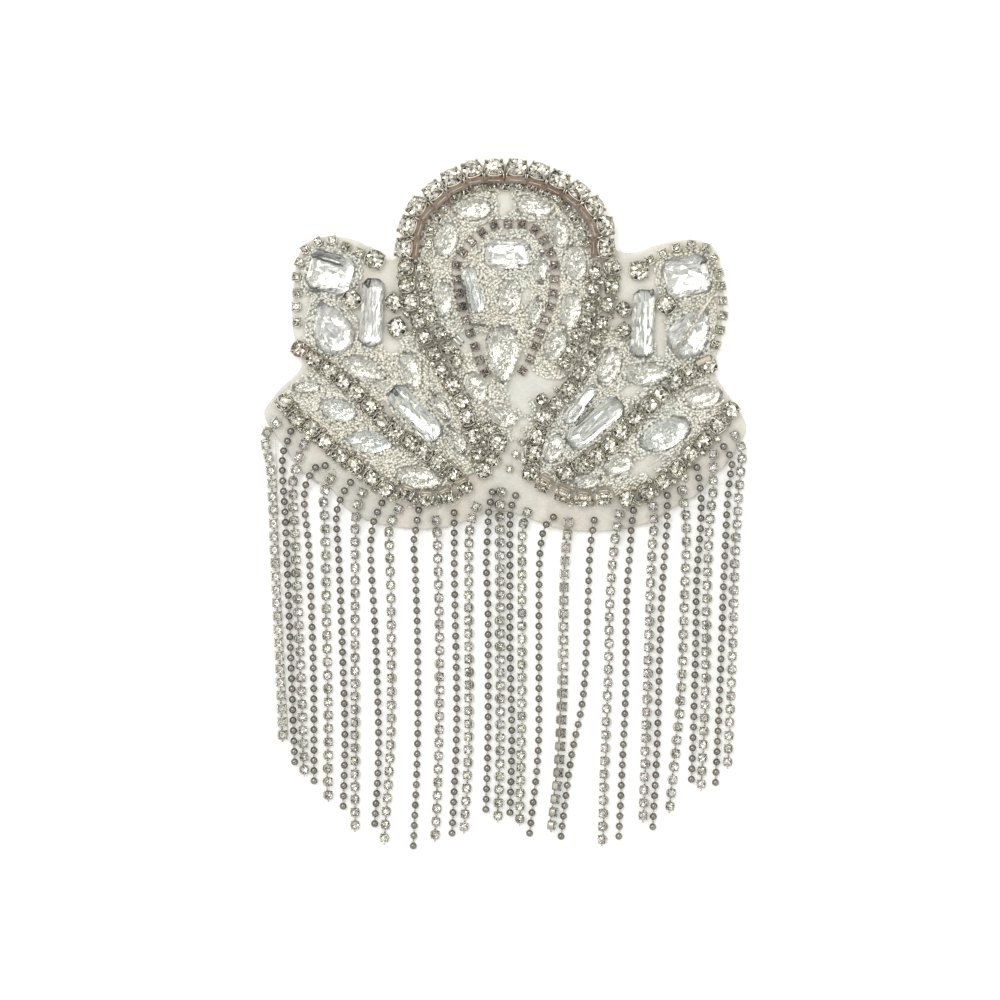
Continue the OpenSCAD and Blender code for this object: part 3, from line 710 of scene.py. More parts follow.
# Where the foil faces the key light: pixel, pixel, long and short radius in pixels, and turn in degrees.
LIT = [
    (332, 283, 13, 10, -15), (338, 295, 6, 1.5, -15), (317, 338, 14, 5, -57), (338, 323, 6, 2.5, -15),
    (380, 299, 13, 3.5, 88), (378, 318, 8, 2.5, 85), (366, 341, 8, 4, 0), (361, 281, 6, 1.5, 85),
    (690, 284, 17, 9, 12), (683, 260, 17, 4, 12), (665, 270, 6, 3, 20), (653, 307, 9, 4, 88),
    (651, 336, 20, 2.5, 89), (645, 330, 28, 1.5, 89), (695, 338, 9, 7, 45), (713, 318, 17, 2.5, 80),
    (508, 247, 21, 6, 0), (500, 262, 8, 2, 0), (493, 357, 11, 5, 60), (500, 382, 6, 4, 0),
    (516, 334, 4, 3, 0), (448, 310, 11, 4, 85), (471, 213, 6, 3, 20), (487, 205, 6, 3, 20),
    (538, 213, 12, 3.5, 0), (653, 379, 10, 4, 20), (609, 356, 7, 4, 60), (588, 398, 8, 4, 50),
    (575, 451, 6, 3, 40), (556, 440, 7, 5, 0), (411, 416, 24, 3.6, -40), (433, 429, 5, 4, 0),
    (366, 376, 9, 4, -25), (340, 402, 6, 3, 0), (415, 366, 4, 7, 0), (352, 440, 10, 2.5, -10),
    (428, 476, 9, 2.5, 5), (657, 437, 6, 2, 20), (700, 398, 7, 3, 20), (617, 470, 6, 3, 0),
    (476, 380, 4, 6, 0), (573, 315, 3, 8, 0), (545, 270, 3, 6, 0)]
KEY_WAY = np.array([-0.68, 0.73])  # towards the key light
KEY_LEAN = math.tan(math.radians(12.3))  # how far a facet leans to mirror it


def lit(u, v):
    """Whether a pixel lies in one of the light patches."""
    for cu, cv, a, b, turn in LIT:
        t = math.radians(turn)
        du, dv = u - cu, cv - v
        x, y = du * math.cos(t) + dv * math.sin(t), dv * math.cos(t) - du * math.sin(t)
        if (x / a) ** 2 + (y / b) ** 2 < 1:
            return True
    return False


def facet_foil(shape, stone, outline, z, step, stretch, sparkle, steep):
    """Separate facets that fill an outline; those in a light patch lean towards the key light."""
    draw = np.random.default_rng(STONES.index(stone))
    narrow = outline / (stretch, 1)
    n = len(narrow)
    grid = scatter(narrow, narrow, step, 0.38 * step, draw, step * 0.3)
    verts, facets = triangulate(np.concatenate([narrow, grid]), n)
    verts = verts * (stretch, 1)
    to_world = np.column_stack([stone["long"], (-stone["long"][1], stone["long"][0])])
    way = KEY_WAY @ to_world
    for f in facets:
        p = verts[list(f)]
        c = p.mean(0)
        if lit(*pixel(to_world @ c + stone["middle"])) or draw.random() < sparkle:
            slope = -KEY_LEAN * way + draw.normal(0, 0.06, 2)
        else:
            t = draw.uniform(-2.2, 2.2)
            cos, sin = math.cos(t), math.sin(t)
            away = np.array([way[0] * cos - way[1] * sin, way[0] * sin + way[1] * cos])
            slope = away * steep * draw.uniform(0.2, 1)
        shape.add(np.column_stack([p, z + (p - c) @ slope]), [tuple(range(len(f)))], 1)
    shape.add(level(outline * 0.99, z - 0.25), [tuple(range(n))], 1)


def build_stone(stone):
    """The glass and the foil of a stone, made along its long axis and then set in place."""
    name, z, h, long = stone["name"], stone["z"], stone["h"], stone["long"]
    short = np.array([-long[1], long[0]])
    outline = stone["ring"] @ np.column_stack([long, short])
    shape = Shape()
    if any(k in name for k in STEP_CUT):
        steps = ((1, 1, GIRDLE), (1, 1, 0.46), (0.93, 0.90, 0.66), (0.86, 0.80, 0.86), (0.78, 0.68, 1.0))
        shape.closed(*bands([level(outline * (sx, sy), z + share * h) for sx, sy, share in steps]))
    else:
        half = outline[:, 0].max()
        count = 24 if half > 6 else (20 if half > 4.5 else 16)
        outline = np.roll(outline, -np.argmax(outline[:, 0]), axis=0)
        outline = resample(outline, count=count, closed=True, rounds=0)
        shape.closed(*cut_glass(outline, [(0.66, z + h), (0.87, z + h * 0.76), (1, z + h * 0.46),
                                          (1, z + h * GIRDLE)]))
    look = next(look for key, look in LOOKS if key in name)
    facet_foil(shape, stone, outline * 0.985, z + (GIRDLE - 0.07) * h, *look)
    wall = [level(outline * r, z + a * h)
            for r, a in ((0.92, 0.0), (0.99, 0.10), (1.004, GIRDLE), (0.985, GIRDLE - 0.02))]
    shape.add(*bands(wall, last=False), 1, True)
    turn = np.column_stack([np.append(long, 0), np.append(short, 0), (0, 0, 1)])
    out = Shape()
    out.stamp(shape, turn, np.append(stone["middle"], 0))
    out.make("cut_" + name, [CLEAR, FOILS.get(name, ICE_FOIL)], "stone", [name])


for s in STONES:
    build_stone(s)

# ---- claw cups

def rosette(shape, radius, z, seed, rings, steep):
    """Small separate foil facets that fill a disc."""
    draw = np.random.default_rng(seed)
    flat = []
    for k, r in rings:
        a = np.arange(k) * 2 * math.pi / k + draw.uniform(0, 1)
        jog = np.ones(k) if r == 1 else draw.uniform(0.8, 1.2, k)
        flat += [(radius * r * j * math.cos(b), radius * r * j * math.sin(b)) for b, j in zip(a, jog)]
    verts, facets = triangulate(flat)
    for f in facets:
        p = verts[list(f)]
        height = z + (p - p.mean(0)) @ draw.normal(0, steep, 2)
        shape.add(np.column_stack([p, height]), [tuple(range(len(f)))], FOIL)


def claw_cup(seed, sides=16, square=2.4, wall_top=0.60, points=8, prong=0.30, stone=0.90, table=0.44,
             top=0.95, seat=0.06, steep=0.27, rings=((14, 1.0), (9, 0.62), (4, 0.26))):
    """A cup of radius 1 and height 1 along +Z: wall, lip, four claws and a foil-backed stone."""
    s = Shape()

    def ring(r, z):
        return circle(r, z, sides, math.pi / sides, square)

    wall = [ring(0.82, 0.0), ring(0.92, 0.04), ring(0.96, 0.25), ring(0.98, wall_top - 0.03)]
    s.add(*bands(wall, last=False), WALL, True)
    lip = [wall[-1], ring(0.96, wall_top), ring(stone + 0.01, wall_top + seat * 0.4),
           ring(stone - 0.03, wall_top - 0.10)]
    s.add(*bands(lip, first=False, last=False), CLAW, True)
    zg = wall_top + seat  # the girdle of the stone
    s.closed(*cut_glass(circle(stone, 0, 2 * points)[:, :2], [
        (table, top), (0.80, zg + (top - zg) * 0.55), (1, zg + 0.02), (1, zg - 0.02), (0.55, zg - 0.30),
        (0.12, 0.06)]), GLASS)
    rosette(s, stone * 0.97, zg - 0.06, seed, rings, steep)
    reach = 2 ** (0.5 - 1 / square)
    for q in range(4):
        out = heading(math.pi / 4 + q * math.pi / 2)
        side = np.cross(UP, out)
        sections = []
        for away, z, width, thick in ((0.96 * reach, wall_top - 0.22, prong, 0.05),
                                      (max(stone + 0.06, 0.97 * reach), wall_top + 0.10, prong * 0.9, 0.07),
                                      (stone * 0.88, zg + 0.20, prong * 0.66, 0.06),
                                      (stone * 0.74, zg + 0.25, prong * 0.36, 0.05)):
            n = unit(out + UP * 0.1 if z < wall_top + 0.15 else out * 0.5 + UP * 0.85)
            sections.append(out * away + UP * z + section(side, n, width, -thick, thick, 0.35))
        s.closed(*bands(sections), CLAW, True)
    return s


ROUND_CUP = [claw_cup(k) for k in range(5)]
BANDED_CUP = [claw_cup(10 + k, square=2.7, wall_top=0.80, seat=0.03, top=0.98, prong=0.26, steep=0.20)
              for k in range(4)]
SMALL_CUP = [claw_cup(20 + k, square=3.4, points=6, wall_top=0.66, prong=0.40, stone=0.76, table=0.62)
             for k in range(3)]
CHAIN_CUP = [claw_cup(30 + k, sides=12, square=2.6, points=6, prong=0.34, stone=0.82, table=0.46, steep=0.17)
             for k in range(4)]
SQUARE_CUP = [claw_cup(40, sides=12, square=6.0, points=6, wall_top=0.80, prong=0.22, stone=0.66, table=0.86,
                       top=0.86, seat=0.02, steep=0.04, rings=((8, 1.0), (4, 0.72)))]
CUP_NODES = {"dome_cups": (BANDED_CUP, ROSY), "wing_cups_left": (SMALL_CUP, UMBER),
             "wing_cups_right": (SMALL_CUP, PLATE), "scroll_cups_left": (ROUND_CUP, PLATE),
             "scroll_cups_right": (ROUND_CUP, PLATE), "hem_cups_left": (ROUND_CUP, BEIGE),
             "hem_cups_right": (ROUND_CUP, BEIGE), "side_cups_left": (ROUND_CUP, PLATE),
             "side_cups_right": (ROUND_CUP, PLATE), "accent_cups": (ROUND_CUP, PLATE)}
CUPS = {name: [read_cup(p, t) for p, t in solids_of(name)] for name in CUP_NODES}
ALL_CUPS = np.array([c[0][:2] for group in CUPS.values() for c in group])
ALL_RADII = np.array([c[2] for group in CUPS.values() for c in group])
# The cups whose stones look like copper, as pixels.
COPPER_CUPS = [(299, 350), (541, 487), (703, 362), (417, 200), (404, 240), (470, 455)]
FILLERS = []  # the small stones beside the rows: place and radius
TILT = 9  # the most degrees that an upright cup leans
# How many times wider a cup may be than the CAD node's.
SMALL_GROWTH, ROUND_GROWTH, DOME_GROWTH, ACCENT_GROWTH = 1.08, 1.13, 1.20, 1.32


def face_plate(shape, foot, axis, radius, height, reach, top):
    """The bar on the inner wall of a tilted cup, with a painted highlight line and two thin claws painted
    bright as highlights.
    """
    inward = np.array([-axis[0], -axis[1], 0.0])
    out = unit(inward - np.dot(inward, axis) * axis)
    d = np.cross(axis, out)
    for low, high, wide, depth, mat in ((0.03, top, reach, 0.0, WALL), (0.30, 0.36, reach * 0.6, 0.07, HIGHLIGHT_LINE)):
        lo, hi = axis * low * height, axis * high * height
        bar(shape, foot + out * (radius * 0.93 + depth), d * wide * radius,
            np.array([lo - out * 0.14, hi - out * 0.14, hi + out * 0.10, lo + out * 0.14]), mat)
    for e in (-1, 1):
        a = foot + out * radius + d * e * radius * 0.86
        up = axis * height
        tube(shape, [a + up * 0.42, a + up * 0.75, a - out * 0.25 + up * 0.95], 0.15, 5, HIGHLIGHT_LINE)


def hem_bar(shape, foot, axis, radius, height):
    """The beige ribbed bar bent over the upper edge of a tilted hem cup; its middle rib is a painted
    highlight line.
    """
    inward = unit((-axis[0], -axis[1], 0.0))
    along = unit(np.cross(axis, inward))
    up = unit(axis + inward * 0.9 + (0, 0, 0.6))
    side = np.cross(up, along)
    middle = foot + axis * height * 0.93 + inward * radius * 0.62
    for width, thick, long, lift, shift, mat in ((1.2, 0.34, 1.04, 0.0, 0.0, WALL),
                                                 (0.30, 0.16, 0.62, 0.20, 0.0, HIGHLIGHT_LINE),
                                                 (0.2, 0.12, 1.0, 0.17, 0.4, WALL)):
        bar(shape, middle + side * shift + up * lift, along * radius * long,
            section(side, up, width, -thick / 2, thick / 2, 0.38), mat)


def dome_links(shape):
    """The links between neighbouring cups of the dome."""
    cups = CUPS["dome_cups"]
    for k, (a, axis_a, radius, height) in enumerate(cups):
        for b, axis_b, _, _ in cups[k + 1:]:
            gap = np.linalg.norm(b - a)
            if gap < 2.6 * radius:
                up, d = unit(axis_a + axis_b), (b - a) / gap
                out = np.cross(d, up)
                if out[2] < 0:
                    out = -out
                middle = (a + b) / 2 + out * radius * 0.66 + up * 0.32 * height
                bar(shape, middle, d * gap * 0.3, section(up, out, 0.60 * height, -0.12, 0.12, 0.5), WALL)


def fill_gaps(shape, cups, pick):
    """Small claw-set stones in the hollows on both sides of a row."""
    for i, (foot, _, radius, _) in enumerate(cups):
        for other, _, _, _ in cups[i + 1:]:
            step = (other - foot)[:2]
            gap = np.linalg.norm(step)
            if gap > 2.7 * radius:
                continue
            across = np.array([-step[1], step[0]]) / gap
            for e in (-1, 1):
                size = pick.uniform(0.62, 0.86)
                c = (foot + other)[:2] / 2 + across * e * (radius * 0.62 + size * 0.75)
                c = c + (pick.uniform(-0.15, 0.15), pick.uniform(-0.15, 0.15))
                point = np.array([c])
                if (not inside(point, OUTLINE)[0] or distance(point, OUTLINE)[0] < 1.2 + size
                        or np.linalg.norm(ALL_CUPS - c, axis=1).min() < radius * 0.95 + size * 0.45
                        or any(np.linalg.norm(c - f[:2]) < size + f[2] for f in FILLERS)
                        or any(inside(point, r)[0] or distance(point, r)[0] < size * 0.8 for r in RINGS)):
                    continue
                FILLERS.append((c[0], c[1], size))
                lean = (pick.uniform(-0.3, 0.3), pick.uniform(-0.3, 0.3), 1.0)
                tall = pick.uniform(1.5, 2.1)
                turn = basis(lean, (math.cos(pick.uniform(0, 3)), 1, 0)) * (size, size, tall)
                shape.stamp(pick.choice(CHAIN_CUP), turn, np.array([c[0], c[1], FELT_T - 0.05]))


def build_cups(name, template, metal):
    """One row of claw-set stones."""
    cups = CUPS[name]
    shape = Shape()
    pick = random.Random(name)
    for foot, axis, radius, height in cups:
        near = min((c for c in cups if c[0] is not foot), key=lambda c: np.linalg.norm(c[0] - foot))[0]
        along = near - foot
        if axis[2] > 0.99:
            tilt = [math.radians(pick.uniform(-TILT, TILT)) for _ in range(2)]
            axis = unit((math.sin(tilt[0]), math.sin(tilt[1]), 1.0))
            if name == "accent_cups":
                along = np.array([math.cos(pick.uniform(0, 3)), 1.0, 0])
            if template is SMALL_CUP:
                radius *= SMALL_GROWTH
            else:  # the cup grows until it meets the next cup or stone
                gaps = np.linalg.norm(ALL_CUPS - foot[:2], axis=1)
                room, most = np.sort(gaps)[1] / 2, radius * ROUND_GROWTH
                if name == "accent_cups":
                    room = np.sort(gaps - ALL_RADII)[1]
                    free = min(distance(foot[None, :2], r)[0] for r in RINGS)
                    most = min(radius * ACCENT_GROWTH, free + 0.5)
                radius = max(radius, min(most, room + 0.04))
        elif name == "dome_cups":
            middle = foot + axis * height * 0.5
            lean = [pick.uniform(lo, hi) for lo, hi in ((-0.05, 0.05), (-0.05, 0.05), (0.10, 0.26))]
            axis = unit(axis + lean)
            radius *= DOME_GROWTH
            foot = middle - axis * height * 0.5
            face_plate(shape, foot, axis, radius, height, 0.94, 0.62)
        else:
            face_plate(shape, foot, axis, radius, height, 0.92, 0.50)
            if name == "hem_cups_right":
                hem_bar(shape, foot, axis, radius, height)
        middle = foot + axis * height * 0.8
        copper = any(np.linalg.norm(at(*c) - middle[:2]) < 1.6 for c in COPPER_CUPS)
        shape.stamp(pick.choice(template), basis(axis, along) * (radius, radius, height), foot,
                    COPPER if copper else (SPARK if name == "dome_cups" else None))
    if template is ROUND_CUP:
        fill_gaps(shape, cups, pick)
    if name == "dome_cups":
        dome_links(shape)
    shape.make("set_" + name, [metal, PLATE, CHATON, CHATON_FOIL, HIGHLIGHT_PLATE, COPPER_FOIL, SPARK_FOIL], "cups",
               [name])


for name, (template, metal) in CUP_NODES.items():
    build_cups(name, template, metal)


def build_tape():
    """The rosy tape on the felt between the dome's cups and the ring chain."""
    feet = resample(DOME_FEET, spacing=0.8)
    d = np.gradient(feet, axis=0)
    inward = np.stack([d[:, 1], -d[:, 0]], 1) / np.linalg.norm(d, axis=1)[:, None]
    n, t = len(feet), FELT_T
    width = np.interp(np.linspace(0, 1, n), [0, 0.03, 0.30, 0.5, 1], [2.2, 3.4, 3.5, 2.7, 2.3])
    rows = []
    for k in range(7):
        f = k / 6
        wob = np.array([soft(x, y, 0.9, 20.0 + k) for x, y in feet]) * (0 < f < 1)
        xy = feet + inward * (0.6 + (width - 0.6) * f)[:, None]
        rows.append(np.column_stack([xy, t + 0.12 + 0.35 * (1 - f) ** 2 + 0.10 * wob]))
    rows = [level(rows[0][:, :2], t + 0.01)] + rows + [level(rows[-1][:, :2], t + 0.01)]
    shape = Shape()
    shape.closed(*bands([np.stack([r[i] for r in rows]) for i in range(n)]))
    shape.make("dome_tape", [TAPE], "felt")


build_tape()

# ---- chains

ROUTES = []  # each chain's route and half its width
CUP_H = 1.8  # height of a chain's cup
RING_D = 1.8  # width of the ring chains' tubes
CUP_D, CUP_PITCH, CUP_R = 2.1, 3.14, 1.18  # tube width, pitch and cup radius of the fringe's cup chains
BALL_D, BALL_PITCH, BALL_R = 1.5, 2.47, 0.88  # the same for its ball chains
LINK_R, WIRE_R = 0.20, 0.21  # radius of the links between cups and of the wires between balls
MOST_CUPS = 60  # more than any chain of the fringe has
HEM_STEP, HEM_STEPS = 0.25, 24  # how a chain is taken further up to the hem
FLAT_CHAIN, TURNED_CHAIN = 0, 9  # the two chains with square stones, counted from the left


def lay_cups(shape, route, pitch, radius, twist, template, floor=None, links=True, foil=None):
    """Cups along a route, twisted about it by twist(share, number), with links between them."""
    place, total = follow(route)
    count = int(round((total - 2 * radius) / pitch)) + 1
    pitch = (total - 2 * radius) / (count - 1)
    line = []
    for i in range(count):
        s = radius + i * pitch
        c = place(s)
        along = unit(place(min(s + 0.6, total)) - place(max(s - 0.6, 0)))
        angle = twist(s / total, i)
        up = unit(UP - along[2] * along)
        axis = up * math.cos(angle) + np.cross(up, along) * math.sin(angle)
        if floor:
            reach = CUP_H / 2 * abs(math.cos(angle)) + radius * abs(math.sin(angle))
            c = c + UP * max(0.0, floor(c) + reach + 0.02 - c[2])
        foot = c - axis * CUP_H / 2
        shape.stamp(template[i * 7 % len(template)], basis(axis, along) * (radius, radius, CUP_H), foot,
                    foil(i) if foil else None)
        line.append(foot + axis * CUP_H * 0.22)
    if not links:
        return
    for a, b in zip(line[:-1], line[1:]):
        d = unit(b - a)
        tube(shape, [a + d * radius * 0.9, (a + b) / 2, b - d * radius * 0.9], LINK_R, 6, CLAW)


def ground(c):
    """The height of what lies under a point: felt or floor."""
    p = c[None, :2]
    return FELT_T if inside(p, OUTLINE)[0] or distance(p, OUTLINE)[0] < 0.6 else 0.0


def to_hem(route, width, others):
    """The route, taken further up the felt until it meets a cup, a small stone or another chain."""
    way = route[0] - route[2]
    way[2] = 0
    way /= np.linalg.norm(way)
    if way[1] < 0.6:
        return route
    start = route[0].copy()
    for _ in range(HEM_STEPS):
        q = start + way * HEM_STEP
        if (np.linalg.norm(ALL_CUPS - q[:2], axis=1).min() < 1.9 + width * 0.9
                or any(np.linalg.norm(q[:2] - f[:2]) < f[2] + width for f in FILLERS)
                or any(np.linalg.norm(r[:, :2] - q[:2], axis=1).min() < w + width + 0.1 for r, w in others)):
            break
        start = q
    return np.concatenate([start[None], route]) if np.linalg.norm(start - route[0]) > 0.4 else route


def ring_chain(node_name, metal, foil, pitch, radius):
    """A fine chain of small cups inside the dome."""
    shape = Shape()
    pick = random.Random(node_name)
    for points, tris in solids_of(node_name):
        route = read_route(points, tris, RING_D)
        ROUTES.append((route, RING_D / 2))
        lay_cups(shape, route, pitch, radius, lambda s, i: math.radians(pick.uniform(-24, 24)), SMALL_CUP,
                 links=False)
    shape.make("set_" + node_name, [metal, metal, CHATON, foil], "cup_chain", [node_name])


def cup_chain(shape, route, order):
    """One cup chain of the fringe; order counts them from the left."""
    pick = random.Random(101 + 2 * order)
    start, sway, turns = pick.uniform(-22, 22), pick.uniform(6, 20), pick.uniform(0.6, 1.6)
    phase = pick.uniform(0, 6)
    if order == FLAT_CHAIN:
        start, sway = 4, 3
    jitter = [pick.uniform(-9, 9) for _ in range(MOST_CUPS)]
    foils = [FOIL + "cgrx".index(pick.choice(CHAIN_LOOK[order])) for _ in range(MOST_CUPS)]

    def twist(s, i):
        if order == TURNED_CHAIN:
            return math.radians(5 + 75 * max(0.0, (s - 0.25) / 0.75))
        return math.radians(start + sway * math.sin(phase + turns * 2 * math.pi * s) + jitter[i])

    template = SQUARE_CUP if order in (FLAT_CHAIN, TURNED_CHAIN) else CHAIN_CUP
    lay_cups(shape, route, CUP_PITCH, CUP_R, twist, template, ground, foil=lambda i: foils[i])
    tip, d = route[-1], unit(route[-1] - route[-3])
    tube(shape, [tip - d * 0.4, tip + d * 0.25, tip + d * 0.5], LINK_R, 6, CLAW)


def ball_chain(shape, route):
    """One ball chain of the fringe."""
    place, total = follow(route)
    count = int(round((total - BALL_D) / BALL_PITCH)) + 1
    pitch = (total - BALL_D) / (count - 1)
    centres = [place(total - BALL_D / 2 - i * pitch) + UP * 0.13 for i in range(count)]
    for i, c in enumerate(centres):
        other = centres[i + 1] if i + 1 < count else centres[i - 1]
        shape.stamp(BALL, basis(other - c, (1, 0, 0)) * BALL_R, c)
    for a, b in zip(centres[:-1], centres[1:]):
        tube(shape, [a, a * 0.7 + b * 0.3, a * 0.3 + b * 0.7, b], WIRE_R, 6, 1)


ring_chain("dome_ring_chain", PLATE, RING_FOIL, pitch=3.1, radius=1.2)
ring_chain("centre_ring_chain", UMBER, DIM_FOIL, pitch=3.4, radius=1.1)

# The stones of each cup chain, from the left: clear, green, rose or grey (x).
CHAIN_LOOK = ["cccg", "rrc", "ccg", "gxr", "gcc", "ccr", "rcg", "ccg", "gxc", "xxr", "ccr", "rrc", "gcc",
              "cgr", "ccr"]
FRINGE = {(kind, part): [(read_route(*solid, across), across / 2)
                         for solid in solids_of("fringe_%s_%s" % (kind, part))]
          for kind, across in (("cups", CUP_D), ("balls", BALL_D)) for part in SIDES}
for (_, part), group in FRINGE.items():
    if part == "middle":
        continue
    for i, (route, width) in enumerate(group):
        rest = [c for g in FRINGE.values() for c in g if c[0] is not route]
        group[i] = (to_hem(route, width + 0.1, rest), width)
order = 0
for part in SIDES:
    shape = Shape()
    for route, width in sorted(FRINGE["cups", part], key=lambda c: c[0][-1][0]):
        ROUTES.append((route, width))
        cup_chain(shape, route, order)
        order += 1
    shape.make("set_fringe_cups_" + part, [CHAIN_PLATE, CHAIN_PLATE, CHATON, *CHAIN_FOILS], "cup_chain",
               ["fringe_cups_" + part])

BALL = Shape()
BALL.closed(*bands([circle(math.sin(a), -math.cos(a), 14) for a in np.arange(1, 9) * math.pi / 9]), 0, True)
for part in SIDES:
    shape = Shape()
    for route, width in FRINGE["balls", part]:
        ROUTES.append((route, width))
        ball_chain(shape, route)
    shape.make("beads_fringe_balls_" + part, [NICKEL, WIRE], "ball_chain", ["fringe_balls_" + part])

# ---- seed beads round the stones

BEAD_R, BEAD_L = 0.29, 0.68
# How many rows of beads go round a stone, by the start of its name.
ROWS = {"wing_octagon": 4, "wing_drop": 4, "wing_baguette": 0, "centre_drop": 1, "centre_cushion": 3,
        "scroll_baguette": 2}
ALL_ROWS = 9
ROW_STEP = 0.56  # from row to row
BEAD_GAP = 0.46  # no two beads lie closer
BARE_RIM = 1.5  # the felt's rim that stays free of beads
LOOSE_BEADS = 120  # tries at loose beads under the dome's cups
# Bare patches of felt, as pixel, pixel and radius.
BARE = [(504, 198, 1.8), (507, 205, 2.1), (502, 212, 1.4), (392, 345, 2.4), (352, 330, 1.2), (519, 400, 2.6),
        (512, 390, 1.5), (500, 470, 4.5), (661, 345, 1.4), (623, 394, 1.2), (631, 391, 1.6), (639, 386, 1.6),
        (646, 382, 1.1), (630, 368, 1.2), (641, 466, 1.9), (649, 459, 1.7), (634, 471, 1.3), (338, 458, 1.4),
        (484, 232, 1.1), (477, 236, 0.9), (486, 404, 1.1), (378, 381, 1.2), (384, 387, 1.1), (526, 410, 1.6),
        (522, 423, 1.7), (517, 433, 1.7), (513, 446, 1.6), (655, 461, 1.9), (648, 469, 1.5), (661, 326, 1.2),
        (660, 335, 1.4), (661, 352, 1.3), (346, 322, 1.2), (345, 337, 1.2), (524, 300, 1.6), (527, 292, 1.3)]
# Single small cups on the felt: pixel, pixel and radius.
SMALL = [(521, 442, 0.85), (516, 455, 0.95), (510, 469, 0.95), (309, 439, 0.90), (684, 478, 0.95),
         (647, 500, 0.95)]


def lathe(profile, sides):
    """Rings round +X from (radius, place) pairs."""
    return [circle(r, x, sides)[:, [2, 0, 1]] for r, x in profile]


BUGLE = Shape()  # a silver-lined glass bead along +X
BUGLE.closed(*bands(lathe([(0.34, -0.38), (0.70, -0.5), (0.95, -0.30), (1.0, 0.0), (0.95, 0.30), (0.70, 0.5),
                           (0.34, 0.38)], 8), wrap=True), 0, True)
BUGLE.add(*bands(lathe([(0.40, -0.36), (0.72, -0.2), (0.72, 0.2), (0.40, 0.36)], 8), first=False, last=False),
          1, True)
CUT_BEAD = Shape()  # a small cut bead along +X
CUT_BEAD.closed(*bands(lathe([(0.55, -0.5), (1.0, -0.2), (1.0, 0.2), (0.55, 0.5)], 6)), 0, True)


def bead_places():
    """Where the beads lie: point, direction, row, and height if they lie on a stone."""
    circles = []
    for cups in CUPS.values():
        for foot, axis, radius, height in cups:
            mid = foot + axis * height * 0.5
            circles.append((mid[0], mid[1], radius + height * 0.5 * math.hypot(axis[0], axis[1])))
    circles += [(*at(u, v), r - BEAD_R) for u, v, r in BARE] + [(x, y, r - 0.15) for x, y, r in FILLERS]
    circles += [(*at(u, v), r) for u, v, r in SMALL]
    placed = np.zeros((0, 2))
    out = []
    shake = np.random.default_rng(8)
    for row in range(ALL_ROWS):
        for stone, ring in zip(STONES, RINGS):
            if row >= next((v for k, v in ROWS.items() if stone["name"].startswith(k)), ALL_ROWS):
                continue
            dense = resample(ring, spacing=0.25, closed=True, rounds=1)
            way = loop_ways(dense)
            way /= np.linalg.norm(way, axis=1)[:, None]
            outward = np.stack([way[:, 1], -way[:, 0]], 1)
            lap = row == 0 and stone["name"] not in FOILS  # the first row laps over a plain stone's rim
            line = resample(dense + outward * (-0.12 if lap else BEAD_R * 0.6 + row * ROW_STEP),
                            spacing=BEAD_L * 0.92, closed=True, rounds=1)
            ways = loop_ways(line)
            line = line + shake.normal(0, 0.13, line.shape)
            good = inside(line, OUTLINE) & (distance(line, OUTLINE) > BARE_RIM)
            if lap:
                wave = np.sin(np.arange(len(line)) * 0.45 + len(line))
                good &= shake.random(len(line)) < 0.55 + 0.35 * wave
            for other in RINGS:
                if np.linalg.norm(other.mean(0) - ring.mean(0)) < 30 and not (lap and other is ring):
                    good &= ~inside(line, other) & (distance(line, other) > BEAD_R * 0.45)
            for x, y, r in circles:
                good &= np.hypot(line[:, 0] - x, line[:, 1] - y) > r + BEAD_R * 0.6
            for route, w in ROUTES:
                good &= distance(line, route[:, :2], False) > w + BEAD_R * 0.9
            for p, d, g in zip(line, ways, good):
                if g and (len(placed) == 0 or np.linalg.norm(placed - p, axis=1).min() > BEAD_GAP):
                    placed = np.vstack([placed, p])
                    out.append((p, d, row, stone["z"] + stone["h"] * 0.50 if lap else 0))
    return out


def build_seed_beads():
    """The crust of cut beads between the stones, in four pieces."""
    pick = random.Random(5)
    groups = {(side, half): Shape() for side in ("left", "right") for half in ("upper", "lower")}

    def stamp_bead(p, z, turn, size, half=None):
        shape = groups["left" if p[0] < 0 else "right", half or ("upper" if p[1] > 0 else "lower")]
        shape.stamp(CUT_BEAD, turn * (BEAD_L * size, BEAD_R * size, BEAD_R * size), np.array([p[0], p[1], z]))
        return shape

    for p, d, row, rest in bead_places():
        angle = math.atan2(d[1], d[0]) + math.radians(pick.gauss(0, 24))
        lift = pick.uniform(-0.05, 0.35)
        size = pick.uniform(0.95, 1.3)
        tilt = math.radians(pick.uniform(-18, 18))
        x = heading(angle) * math.cos(tilt) + UP * math.sin(tilt)
        z = rest + 0.3 * lift + 0.1 if rest else FELT_T + 0.05 + BEAD_R + lift + max(0.0, 0.55 - 0.2 * row)
        shape = stamp_bead(p, z, basis(UP - x * x[2], x), size)
        pad = circle(0.50, z - BEAD_R * pick.uniform(0.5, 0.8), 6, pick.uniform(0, 1)) + (p[0], p[1], 0)
        shape.add(pad, [(0, 1, 2, 3, 4, 5)], 1)
    rim = resample(DOME_FEET, spacing=0.4)
    ways = np.gradient(rim, axis=0)
    for i in range(LOOSE_BEADS):
        j = int(pick.random() ** 1.7 * (len(rim) - 1))
        d = unit(ways[j])
        p = rim[j] + np.array([d[1], -d[0]]) * pick.uniform(1.5, 3.6)
        if np.linalg.norm(ALL_CUPS - p, axis=1).min() < 1.2:
            continue
        size = pick.uniform(0.8, 1.5)
        turn = basis((pick.uniform(-0.4, 0.4), pick.uniform(-0.4, 0.4), 1),
                     (math.cos(pick.uniform(0, 6)), math.sin(i), 0))
        stamp_bead(p, FELT_T + 0.62, turn, size, "upper")
    for (side, half), shape in groups.items():
        shape.make("seed_beads_%s_%s" % (half, side), [SILVERED, BED], "stone")


build_seed_beads()

bugles = Shape()
